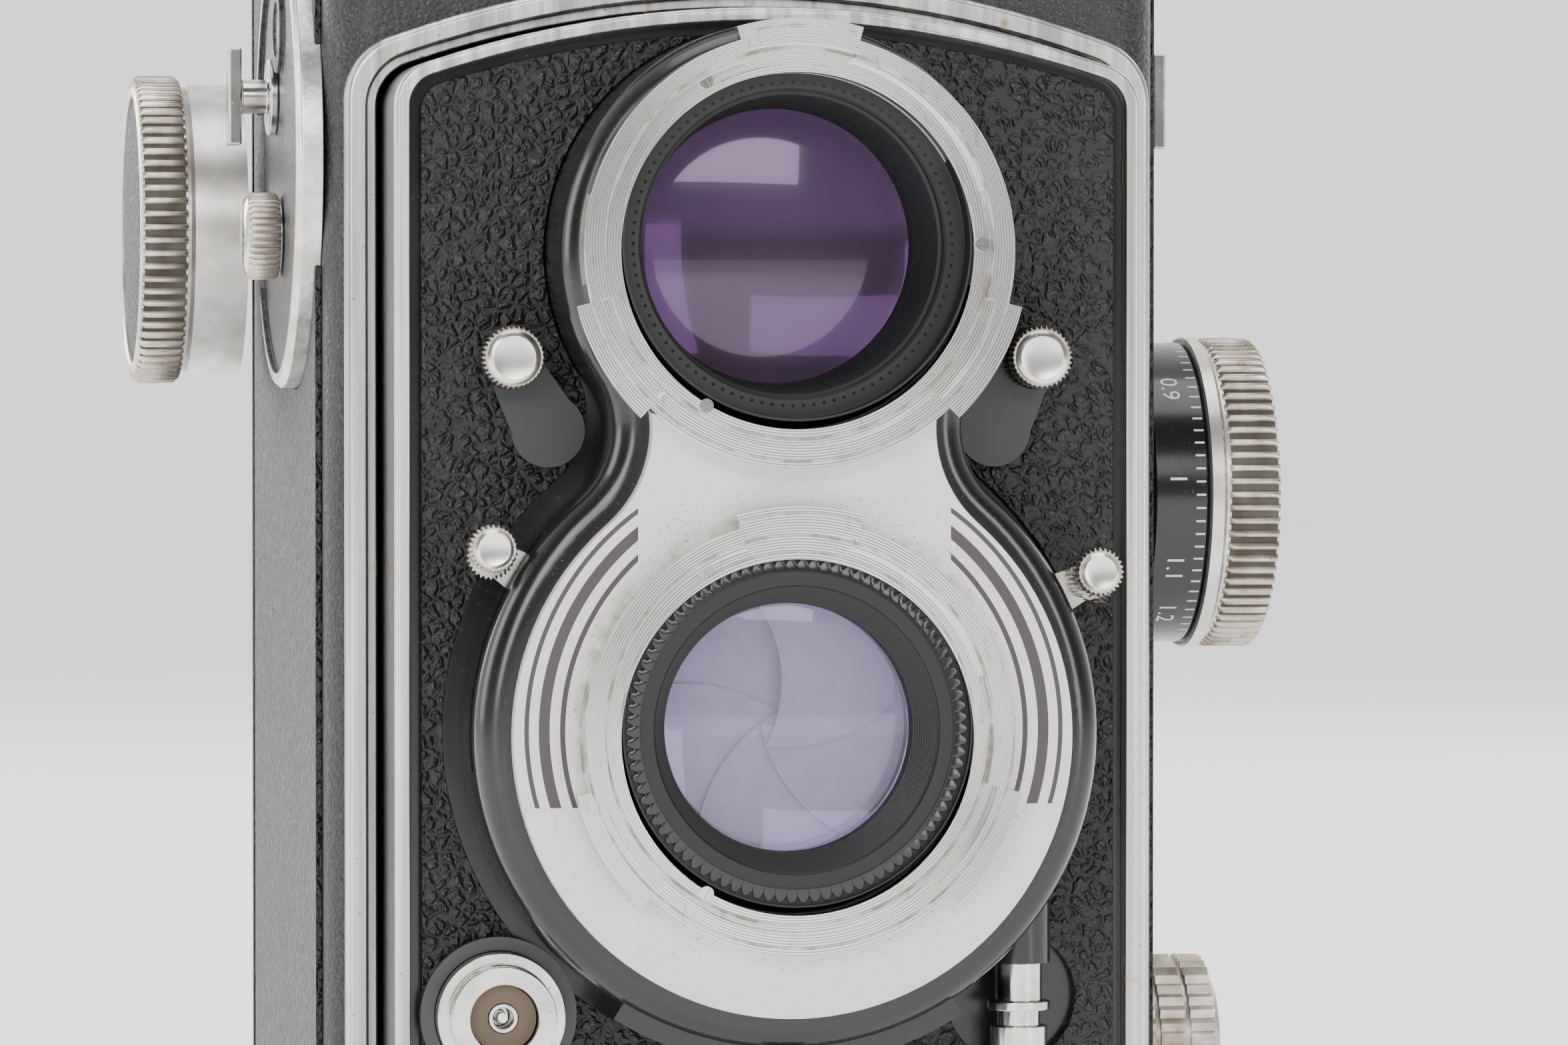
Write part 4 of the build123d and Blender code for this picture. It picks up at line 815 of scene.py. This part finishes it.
def refine(node: str, finish: Look, bevel: float = 0.0, slot: Optional[str] = None,
           behind: Optional[float] = None) -> None:
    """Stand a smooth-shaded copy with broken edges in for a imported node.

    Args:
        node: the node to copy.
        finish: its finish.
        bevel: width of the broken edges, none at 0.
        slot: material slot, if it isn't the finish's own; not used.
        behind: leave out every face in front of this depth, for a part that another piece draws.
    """
    bm = bmesh.new()
    bm.from_mesh(frame["nodes"][node].data)
    if behind is not None:
        ahead = [face for face in bm.faces if face.calc_center_median().y < behind]
        bmesh.ops.delete(bm, geom=ahead, context="FACES")
    bmesh.ops.remove_doubles(bm, verts=bm.verts, dist=2e-6)
    bmesh.ops.dissolve_degenerate(bm, edges=bm.edges, dist=1e-6)
    if bevel:
        bmesh.ops.dissolve_limit(bm, angle_limit=math.radians(0.6), verts=bm.verts, edges=bm.edges)
    soften(bm, 30.0)
    piece = placed(node + "_finished", bm)
    if bevel:
        edge = piece.modifiers.new("broken_edges", "BEVEL")
        edge.width = bevel
        edge.segments = 2
        edge.limit_method = "ANGLE"
        edge.angle_limit = math.radians(38)
        edge.use_clamp_overlap = True
        edge.harden_normals = True
    dress(piece, finish, body_of(node), node, slot=slot)


# ------------------------------------------------------------------ sub-assemblies
@dataclass
class Body:
    """Casting, bezel, side coverings and the film side, dressed as packed."""

    paint_edge: float = 0.35 * MM
    metal_edge: float = 0.22 * MM
    cover_edge: float = 0.18 * MM

    def build(self) -> None:
        """Dress every node of the body."""
        refine("body_casting", CRACKLE, self.paint_edge)
        refine("front_bezel", BRIGHT, self.metal_edge)
        for node in ("leather_left", "leather_right"):
            refine(node, LEATHER, self.cover_edge)
        paint("light_box", MATT)
        paint("reflex_mirror", MIRROR)
        paint("focusing_screen", GROUND)
        paint("hinge_pins", STEEL)
        refine("strap_lugs", CHROME, 0.2 * MM)
        for node in ("film_roller_lower", "film_roller_upper", "focus_camshaft", "advance_shaft"):
            refine(node, STEEL)
        refine("take_up_spool", MATT)


@dataclass
class CounterPanel:
    """Round panel with its rim, dial, window and small knob."""

    rim_width: float = 1.3 * MM
    dial_marks: int = 12
    tooth: tuple[float, float] = (0.62 * MM, 0.34 * MM)
    teeth: int = 36

    def build(self) -> None:
        """Make the dial's marks and the small knob, and dress the rest."""
        box = Place("counter_panel")
        radius = box.size.z / 2
        finish = PanelFinish(box.low.y + radius, box.centre.z, radius - self.rim_width)
        refine("counter_panel", finish, 0.12 * MM, slot="satin_alloy")
        paint("counter_window", CLEAR)
        dial = Place("counter_dial")
        refine("counter_dial", BLACK, 0.05 * MM)
        face = dial.at(0, dial.low.x - 0.02 * MM)
        RINGS.ring("counter_marks", ridge(0.25 * MM, 0.5 * MM, 0.06 * MM, 0.01 * MM), self.dial_marks,
                   dial.size.y / 2 - 3.2 * MM, Axis.X, face, SATIN, "counter_dial")
        self.small_knob()

    def small_knob(self) -> None:
        """Knurled knob with a domed silver face."""
        knob = Place("reset_knob")
        radius = knob.size.y / 2
        length = 3.5 * MM
        centre = knob.at(0, knob.low.x)
        profile = [(0, 0), (radius * 0.55, 0.05 * MM), (radius * 0.8, 0.2 * MM),
                   (radius - 0.4 * MM, 0.5 * MM), (radius - 0.4 * MM, length), (1.2 * MM, length),
                   (1.2 * MM, knob.size.x), (0, knob.size.x)]
        core = lathe("reset_knob_core", profile, Axis.X, centre, SMALL_TURN)
        dress(core, CHROME, "reset_knob", "reset_knob")
        RINGS.ring("reset_knob_ribs", ridge(*self.tooth, 2.9 * MM, 0.35 * MM), self.teeth, radius - 0.42 * MM,
                   Axis.X, centre + Vector((0.5 * MM + 1.45 * MM, 0, 0)), KNURL, "reset_knob")


@dataclass
class SideKnob:
    """Large knob on one side: turned core, knurled rim and a covered face.

    Attributes:
        node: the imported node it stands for.
        body: the body it turns with.
        steps: radius and distance from the body side of each step of the core.
        rim: radius that the ridges stand on.
        teeth: number of ridges.
        ridge_span: where the ridges start and end.
        face: radius of the covered face.
        ridge_depth: how far the ridges stand out.
        bright: finish of the core.
        side: 1 on the right, -1 on the left.
        start: where the knob's inner end lies on X.
        centre: point on the knob's axis.
    """

    node: str
    body: str
    steps: Profile
    rim: float
    teeth: int
    ridge_span: tuple[float, float]
    face: float
    ridge_depth: float = 0.55 * MM
    bright: Finish = SATIN
    side: int = field(init=False)
    start: float = field(init=False)
    centre: Vector = field(init=False)

    def __post_init__(self) -> None:
        """Find the knob's side, its inner end and its axis."""
        box = Place(self.node)
        self.side = 1 if box.centre.x > 0 else -1
        length = max(height for _, height in self.steps)
        outer = box.high.x if self.side > 0 else box.low.x
        self.start = outer - self.side * length
        self.centre = Vector((0.0, box.centre.y, box.centre.z))

    def build(self) -> None:
        """Make the core, the ridges with a dark band of painted shade and grime at their roots, and the
        covered face.
        """
        self.turned("_core", self.steps, self.bright, FINE_TURN, self.node)
        low, high = self.ridge_span
        pitch = 2 * math.pi * self.rim / self.teeth
        middle = Vector((self.start + self.side * (low + high) / 2, 0, 0)) + self.centre
        RINGS.ring(self.node + "_ridges", ridge(pitch * 0.62, self.ridge_depth, high - low, 0.45 * MM),
                   self.teeth, self.rim, Axis.X, middle, KNURL, self.body, jitter=0.01)
        # A dark ring just proud of the rim between the ridges' roots: painted shade of the gaps between the
        # ridges, and grime.
        inner, proud = self.rim - 0.5 * MM, self.rim + 0.06 * MM
        first, last = low + 0.2 * MM, high - 0.2 * MM
        band = [(inner, first), (proud, first), (proud, last), (inner, last)]
        self.turned("_grime", band, ROOT_SHADE_AND_GRIME, FINE_TURN, closed=True)
        length = max(height for _, height in self.steps)
        floor = length - 0.8 * MM
        domed = [(0, length - 0.05 * MM), (self.face * 0.6, length - 0.12 * MM),
                 (self.face * 0.93, length - 0.3 * MM), (self.face, length - 0.55 * MM), (self.face, floor),
                 (0, floor)]
        self.turned("_face", domed, LEATHER, FACE_TURN)

    def turned(self, suffix: str, profile: Profile, finish: Finish, steps: int, *nodes: str,
               closed: bool = False) -> None:
        """Turn and dress one piece of the knob.

        Args:
            suffix: what its name adds to the node's.
            profile: pairs of radius and distance from the body side.
            finish: its finish.
            steps: number of facets round the axis.
            nodes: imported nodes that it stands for.
            closed: join the profile's ends, for a ring.
        """
        shifted = [(radius, self.start + self.side * height) for radius, height in profile]
        piece = lathe(self.node + suffix, shifted, Axis.X, self.centre, steps, closed)
        dress(piece, finish, self.body, *nodes)


@dataclass
class FocusScale:
    """Dark ring of distances between the body and the focus knob."""

    labels: tuple[tuple[str, float], ...] = (
        ("0.9", 136), ("1", 174), ("1.1", 209), ("1.2", 232), ("1.4", 262), ("1.7", 290), ("2", 312),
        ("2.5", 336), ("3", 358), ("5", 382), ("10", 408), ("20", 436))
    letter: float = 2.3 * MM

    def build(self) -> None:
        """Make the ring, its numerals and its index ticks."""
        box = Place("focus_scale")
        radius = box.size.y / 2
        centre = Vector((0.0, box.centre.y, box.centre.z))
        edge = 0.25 * MM
        profile = [(3.0 * MM, box.low.x), (radius - edge, box.low.x), (radius, box.low.x + edge),
                   (radius, box.high.x - edge), (radius - edge, box.high.x), (3.0 * MM, box.high.x)]
        ring = lathe("focus_scale_ring", profile, Axis.X, centre, FINE_TURN, closed=True)
        dress(ring, BLACK, "focus_knob", "focus_scale")
        marks = [self.label(text, math.radians(turn), radius, box) for text, turn in self.labels]
        dress(joined("focus_scale_numerals", marks), WHITE_INK, "focus_knob")
        RINGS.ring("focus_scale_ticks", ridge(0.18 * MM, 0.03 * MM, 0.9 * MM, 0.02 * MM), 72, radius,
                   Axis.X, Vector((box.high.x - 0.8 * MM, 0, 0)) + centre, WHITE_INK, "focus_knob")

    def label(self, text: str, start: float, radius: float, box: Place) -> bpy.types.Object:
        """One numeral wrapped round the ring.

        Args:
            text: what it reads.
            start: angle of its middle.
            radius: the ring's radius.
            box: the ring's box.

        Returns:
            A flat mesh that lies on the ring.
        """
        curve = bpy.data.curves.new("numeral", "FONT")
        curve.body = text
        curve.size = self.letter
        curve.align_x = "CENTER"
        holder = link("numeral", curve)
        view = bpy.context.evaluated_depsgraph_get()
        mesh = bpy.data.meshes.new_from_object(holder.evaluated_get(view))
        bpy.data.objects.remove(holder)
        proud = radius + 0.03 * MM
        for vertex in mesh.vertices:
            angle = start + vertex.co.x / proud
            along = box.low.x + 1.5 * MM + vertex.co.y
            vertex.co = (along, box.centre.y + proud * math.cos(angle),
                         box.centre.z + proud * math.sin(angle))
        return link("numeral_" + text.replace(".", "_"), mesh)


# Finish of the dark ring at the knurl roots: painted shade between the ridges, and grime.
ROOT_SHADE_AND_GRIME = Finish("knurl_root_shade_and_grime", "satin_alloy", Grain.TURNED, (0.10, 0.085, 0.065), (0.05, 0.042, 0.035),
               rough=0.6, metal=0.2, size=0.0002, depth=0.00001, wear=0.8)
INSULATOR = Finish("insulator", "brass", Grain.PLAIN, (0.11, 0.075, 0.045), (0.05, 0.035, 0.025), rough=0.5,
                   size=0.0003, depth=0.00001, wear=0.6)
BRIGHT_FACE = Finish("turned_face", "bright_metal", Grain.TURNED, (0.88, 0.87, 0.85), (0.74, 0.73, 0.70),
                     rough=0.24, metal=1.0, size=0.0003, depth=0.000004, wear=0.3)
WHITE_INK = Finish("white_ink", "satin_alloy", Grain.PLAIN, (0.82, 0.82, 0.80), (0.6, 0.58, 0.54), rough=0.5,
                   size=0.0003, depth=0.000004, wear=0.3)


@dataclass
class Thumb:
    """Small lever with a knurled knob whose face is turned bright.

    Attributes:
        node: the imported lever.
        x: the knob's axis.
        z: the knob's axis.
        radius: the knob's radius.
        arm: finish of the arm.
        teeth: knurl ridges.
    """

    node: str
    x: float
    z: float
    radius: float
    arm: Finish
    teeth: int
    height: float = 2.1 * MM

    def build(self) -> None:
        """Dress the arm and make the knob."""
        box = Place(self.node)
        front = box.low.y
        refine(self.node, self.arm, 0.0, behind=front + self.height)
        centre = Vector((self.x, front, self.z))
        r = self.radius - 0.3 * MM
        dish = r * 0.72
        profile = [(0, 0.12 * MM), (dish * 0.5, 0.10 * MM), (dish, 0.02 * MM), (dish + 0.08 * MM, 0),
                   (r - 0.25 * MM, 0.14 * MM), (r, 0.4 * MM), (r, self.height + 0.6 * MM),
                   (0, self.height + 0.6 * MM)]
        body = body_of(self.node)
        dress(lathe(self.node + "_knob", profile, Axis.Y, centre, SMALL_TURN), BRIGHT_FACE, body)
        pitch = 2 * math.pi * r / self.teeth
        length = self.height - 0.15 * MM
        RINGS.ring(self.node + "_knurl", ridge(pitch * 0.9, 0.28 * MM, length, 0.2 * MM), self.teeth, r,
                   Axis.Y, centre + Vector((0, 0.25 * MM + length / 2, 0)), KNURL, body)


@dataclass
class Front:
    """Moving lens board with its trim, covering, housing, face plate and bayonets.

    Attributes:
        LEVERS: node, angle about the taking axis, reach from it and knob radius, in degrees and millimetres.
        selector_radius: radius of the selector levers' knobs.
    """

    LEVERS = (("release_lever", -90.0, 32.0, 2.2), ("speed_lever", 148.7, 30.1, 2.15),
              ("aperture_lever", 25.8, 30.8, 2.15))
    selector_radius: float = 2.8 * MM

    def build(self) -> None:
        """Dress the board and what stands on it."""
        refine("lens_board", BLACK)
        refine("board_trim", BRIGHT, 0.2 * MM)
        refine("board_leather", LEATHER, 0.15 * MM)
        refine("shutter_housing", BLACK, 0.1 * MM)
        plate = PlateFinish(Place("taking_bayonet").centre.z)
        refine("face_plate", plate, 0.12 * MM, slot="satin_alloy")
        for node in ("viewing_bayonet", "taking_bayonet"):
            refine(node, RingFinish(node + "_metal", Place(node).centre.z), 0.1 * MM, slot="satin_alloy")
        paint("shutter_case", MATT)
        for i in range(5):
            refine("shutter_blade_" + str(i + 1), BLADE)
        axis = Place("taking_bayonet").centre
        for node, angle, reach, radius in self.LEVERS:
            turn = math.radians(angle)
            Thumb(node, axis.x + reach * MM * math.cos(turn), axis.z + reach * MM * math.sin(turn),
                  radius * MM, CHROME, 28).build()
        for node, side in (("selector_left", -1), ("selector_right", 1)):
            box = Place(node)
            outer = box.low.x if side < 0 else box.high.x
            radius = self.selector_radius
            Thumb(node, outer - side * radius, box.high.z - radius, radius, CHARCOAL, 36).build()
        refine("socket_lock", CHARCOAL, 0.08 * MM)
        refine("flash_socket", CHROME, 0.12 * MM)
        refine("cable_socket", CHROME, 0.1 * MM)
        self.socket_insulator()

    def socket_insulator(self) -> None:
        """Brown washer round the flash socket's pin."""
        box = Place("flash_socket")
        centre = box.at(1, box.low.y)
        profile = scaled((1.35, 1.2), (2.9, 1.2), (2.9, 1.9), (1.35, 1.9))
        washer = lathe("flash_socket_washer", profile, Axis.Y, centre, SMALL_TURN, closed=True)
        dress(washer, INSULATOR, "lens_board")


@dataclass
class LensCell:
    """One lens mount seen from the front: stepped tube, ring detail and glass.

    Attributes:
        ring: the bayonet node round it.
        nodes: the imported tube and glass.
        outer: the tube's outer radius.
        mouth: radius and depth of each step behind the bayonet's front.
        cone: radius and depth where the grooved cone starts and ends.
        grooves: number of grooves in the cone.
        back: radius and depth of the tube's rear end.
        glass: radius, crest depth, bulge and thickness of the lens.
        coating: finish of the glass.
    """

    ring: str
    nodes: tuple[str, str]
    outer: float
    mouth: Profile
    cone: Profile
    grooves: int
    back: tuple[float, float]
    glass: tuple[float, float, float, float]
    coating: Finish

    def build(self) -> None:
        """Make the tube and the glass."""
        box = Place(self.ring)
        centre = box.at(1, box.low.y)
        (r0, d0), (r1, d1) = self.cone
        walls = [*self.mouth]
        for i in range(self.grooves):
            share = i / self.grooves
            radius, depth = r0 + (r1 - r0) * share, d0 + (d1 - d0) * share
            step = (d1 - d0) / self.grooves
            walls += [(radius, depth), (radius, depth + step * 0.55),
                      (radius + 0.12 * MM, depth + step * 0.7)]
        seat = self.glass[1] + self.glass[2]
        walls += [(r1, d1), (self.glass[0], seat), (self.glass[0], seat + self.glass[3]), self.back,
                  (self.outer, self.back[1])]
        tube = lathe(self.nodes[0] + "_turned", walls, Axis.Y, centre, FINE_TURN, closed=True)
        dress(tube, MATT, "lens_board", self.nodes[0])
        self.lens(centre)

    def lens(self, centre: Vector) -> None:
        """Make a biconvex lens."""
        radius, crest, bulge, thickness = self.glass
        radius -= 0.03 * MM
        rows = 14
        front = [(radius * i / rows, crest + bulge * (i / rows) ** 2) for i in range(rows + 1)]
        back_crest = crest + bulge + thickness
        back = [(r, back_crest - 0.6 * bulge * (r / radius) ** 2) for r, _ in reversed(front)]
        glass = lathe(self.nodes[1] + "_ground", front + back, Axis.Y, centre, 120)
        dress(glass, self.coating, "lens_board", self.nodes[1])


def build_cells() -> None:
    """Make both lens cells and the small detail in their rings."""
    viewing = LensCell(
        ring="viewing_bayonet", nodes=("viewing_barrel", "viewing_lens"), outer=15.3 * MM,
        mouth=scaled((15.3, 1.5), (15.1, 1.5), (15.1, 3.9), (14.9, 4.1), (13.5, 4.1), (13.3, 4.3),
                     (13.3, 5.4)),
        cone=scaled((13.0, 5.6), (12.2, 12.9)), grooves=9, back=(11.0 * MM, 26.8 * MM),
        glass=(12.1 * MM, 13.4 * MM, 1.3 * MM, 4.2 * MM), coating=DEEP)
    taking = LensCell(
        ring="taking_bayonet", nodes=("taking_barrel", "taking_lens"), outer=15.3 * MM,
        mouth=scaled((15.3, 1.3), (15.15, 1.3), (15.15, 2.0), (14.35, 2.0), (14.3, 1.75), (12.55, 1.75),
                     (12.4, 1.95)),
        cone=scaled((12.3, 2.0), (10.95, 6.3)), grooves=10, back=(10.6 * MM, 11.2 * MM),
        glass=(10.85 * MM, 6.7 * MM, 0.9 * MM, 2.8 * MM), coating=COATED)
    for cell in (viewing, taking):
        cell.build()
        box = Place(cell.ring)
        centre = box.at(1, box.low.y + 1.2 * MM)
        heads = RINGS.ring(cell.ring + "_screws", screw(0.62 * MM, 0.28 * MM), 3, 16.1 * MM, Axis.Y,
                           centre, CHROME, "lens_board")
        for vertex in heads.data.vertices:
            vertex.co.y = 2 * centre.y - vertex.co.y
        heads.data.flip_normals()
    box = Place("viewing_bayonet")
    RINGS.ring("name_ring_studs", dot(0.17 * MM), 96, 13.95 * MM, Axis.Y,
               box.at(1, box.low.y + 4.1 * MM), MATT, "lens_board")
    box = Place("taking_bayonet")
    RINGS.ring("taking_ring_teeth", ridge(0.95 * MM, 0.6 * MM, 0.5 * MM, 0.1 * MM), 90, 14.35 * MM,
               Axis.Y, box.at(1, box.low.y + 1.85 * MM), BLACK, "lens_board")


@dataclass
class RearCover:
    """Hinged back with its floor, socket and latch."""

    def build(self) -> None:
        """Dress the cover's nodes."""
        refine("rear_cover", CRACKLE, 0.3 * MM)
        refine("cover_leather", LEATHER, 0.18 * MM)
        refine("pressure_plate", BLACK, 0.2 * MM)
        refine("tripod_socket", CHROME, 0.15 * MM)
        refine("latch_ring", CHROME, 0.1 * MM)


@dataclass
class Hood:
    """Folding viewing hood."""

    def build(self) -> None:
        """Dress the hood's nodes and make its magnifier."""
        refine("hood_base", CRACKLE, 0.15 * MM)
        refine("hood_lid", CRACKLE, 0.12 * MM)
        for node in ("hood_flap_left", "hood_flap_right", "hood_flap_rear"):
            refine(node, MATT, 0.08 * MM)
        refine("magnifier_frame", BLACK, 0.12 * MM)
        self.magnifier_glass()

    def magnifier_glass(self) -> None:
        """Biconvex magnifier."""
        box = Place("magnifier_lens")
        radius = box.size.x / 2
        half = box.size.z / 2
        edge = half * 0.45
        rows = 10
        top = [(radius * i / rows, edge + (half - edge) * (1 - (i / rows) ** 2)) for i in range(rows + 1)]
        low = [(r, -h) for r, h in reversed(top)]
        glass = lathe("magnifier_glass", top + low, Axis.Z, box.centre, 72)
        dress(glass, CLEAR, "magnifier", "magnifier_lens")


def build_knobs() -> None:
    """Make the knobs at both sides."""
    advance = SideKnob(
        node="advance_knob", body="film_advance", rim=14.2 * MM, teeth=72, ridge_span=(5.7 * MM, 10.0 * MM),
        face=12.7 * MM, steps=scaled((0, 0), (13.9, 0), (13.9, 5.0), (13.5, 5.35), (14.1, 5.7), (14.2, 9.7),
                                     (13.6, 10.1), (13.1, 10.2), (12.8, 10.0), (12.8, 9.4), (0, 9.4)))
    focus = SideKnob(
        node="focus_knob", body="focus_knob", rim=13.9 * MM, teeth=72, ridge_span=(1.9 * MM, 6.7 * MM),
        face=12.5 * MM, steps=scaled((0, 0), (14.3, 0), (14.5, 0.2), (14.5, 1.3), (13.9, 1.7), (13.9, 6.5),
                                     (13.3, 6.8), (12.9, 6.9), (12.6, 6.7), (12.6, 6.1), (0, 6.1)))
    for knob in (advance, focus):
        knob.build()
    refine("supply_knob", KNURL, 0.08 * MM)
    refine("take_up_button", KNURL, 0.08 * MM)


# ------------------------------------------------------------------ studio
@dataclass
class Studio:
    """Pale floor, soft lights and the main camera.

    Attributes:
        eye: the camera's place.
        yaw: degrees it turns to the right of straight ahead.
        pitch: degrees it looks down.
        focal: focal length in millimetres on the sensor's width.
        sensor: the sensor's width in millimetres.
        LAMPS: name, place, width and height, and watts of each soft box.
    """

    LAMPS = (("front_left_tall", (-0.55, -0.95, 0.42), (0.28, 0.7), 5.0),
             ("front_right_tall", (0.62, -0.85, 0.30), (0.22, 0.6), 3.0),
             ("front_wide", (-0.12, -1.25, 0.55), (0.9, 0.35), 6.0),
             ("top_soft", (0.0, -0.15, 0.85), (0.7, 0.5), 3.5),
             ("side_left", (-0.85, 0.05, 0.30), (0.35, 0.5), 2.5),
             ("back_right", (0.6, 0.7, 0.5), (0.5, 0.5), 4.0),
             ("back_left", (-0.5, 0.8, 0.4), (0.5, 0.5), 4.0))
    eye: tuple[float, float, float] = (-0.1034, -0.6865, 0.0837)
    yaw: float = 9.3
    pitch: float = 1.28
    focal: float = 168.4
    sensor: float = 36.0

    def build(self) -> None:
        """Place the camera, the lights and the floor."""
        data = bpy.data.cameras.new("main_camera")
        data.lens = self.focal
        data.sensor_width = self.sensor
        data.clip_start = 0.01
        view = link("main_camera", data)
        view.location = self.eye
        view.rotation_euler = (math.radians(90 - self.pitch), 0.0, math.radians(-self.yaw))
        bpy.context.scene.camera = view
        for lamp in self.LAMPS:
            self.lamp(*lamp)
        self.floor()

    def lamp(self, name: str, place: Sequence[float], size: Sequence[float], power: float) -> None:
        """Soft box aimed at the object's middle."""
        data = bpy.data.lights.new(name, "AREA")
        data.shape = "RECTANGLE"
        data.size, data.size_y = size
        data.energy = power
        lamp = link(name, data)
        lamp.location = place
        aim = Vector((0, 0, 0.07)) - Vector(place)
        lamp.rotation_euler = aim.to_track_quat("-Z", "Y").to_euler()

    def floor(self) -> None:
        """Plain pale floor, level with the feet."""
        bm = bmesh.new()
        bmesh.ops.create_grid(bm, x_segments=1, y_segments=1, size=3.0)
        floor = from_bmesh("studio_floor", bm)
        surface = Surface("studio_floor")
        surface.set(Base_Color=(0.9, 0.9, 0.9, 1.0), Roughness=0.7, Emission_Color=(1.0, 1.0, 1.0, 1.0),
                    Emission_Strength=0.7)
        floor.data.materials.append(surface.material)
        self.surround()

    def surround(self) -> None:
        """Pale surround: bright behind the object, dim before it."""
        world = bpy.data.worlds.new("studio")
        world.use_nodes = True
        tree = world.node_tree
        place = tree.nodes.new("ShaderNodeTexCoord")
        split = tree.nodes.new("ShaderNodeSeparateXYZ")
        tree.links.new(place.outputs["Generated"], split.inputs[0])
        depth = Scalar(tree, split.outputs[1]).step(-0.4, 0.7)
        sky = tree.nodes["Background"]
        sky.inputs[0].default_value = (1.0, 1.0, 1.0, 1.0)
        strength = depth * 1.4 + 0.10
        tree.links.new(strength.socket, sky.inputs[1])
        bpy.context.scene.world = world


def main() -> None:
    """Build every sub-assembly in order."""
    logging.basicConfig(level=logging.INFO, format="%(message)s")
    Studio().build()
    Body().build()
    Front().build()
    build_cells()
    CounterPanel().build()
    build_knobs()
    FocusScale().build()
    RearCover().build()
    Hood().build()


if __name__ == "__main__":
    main()
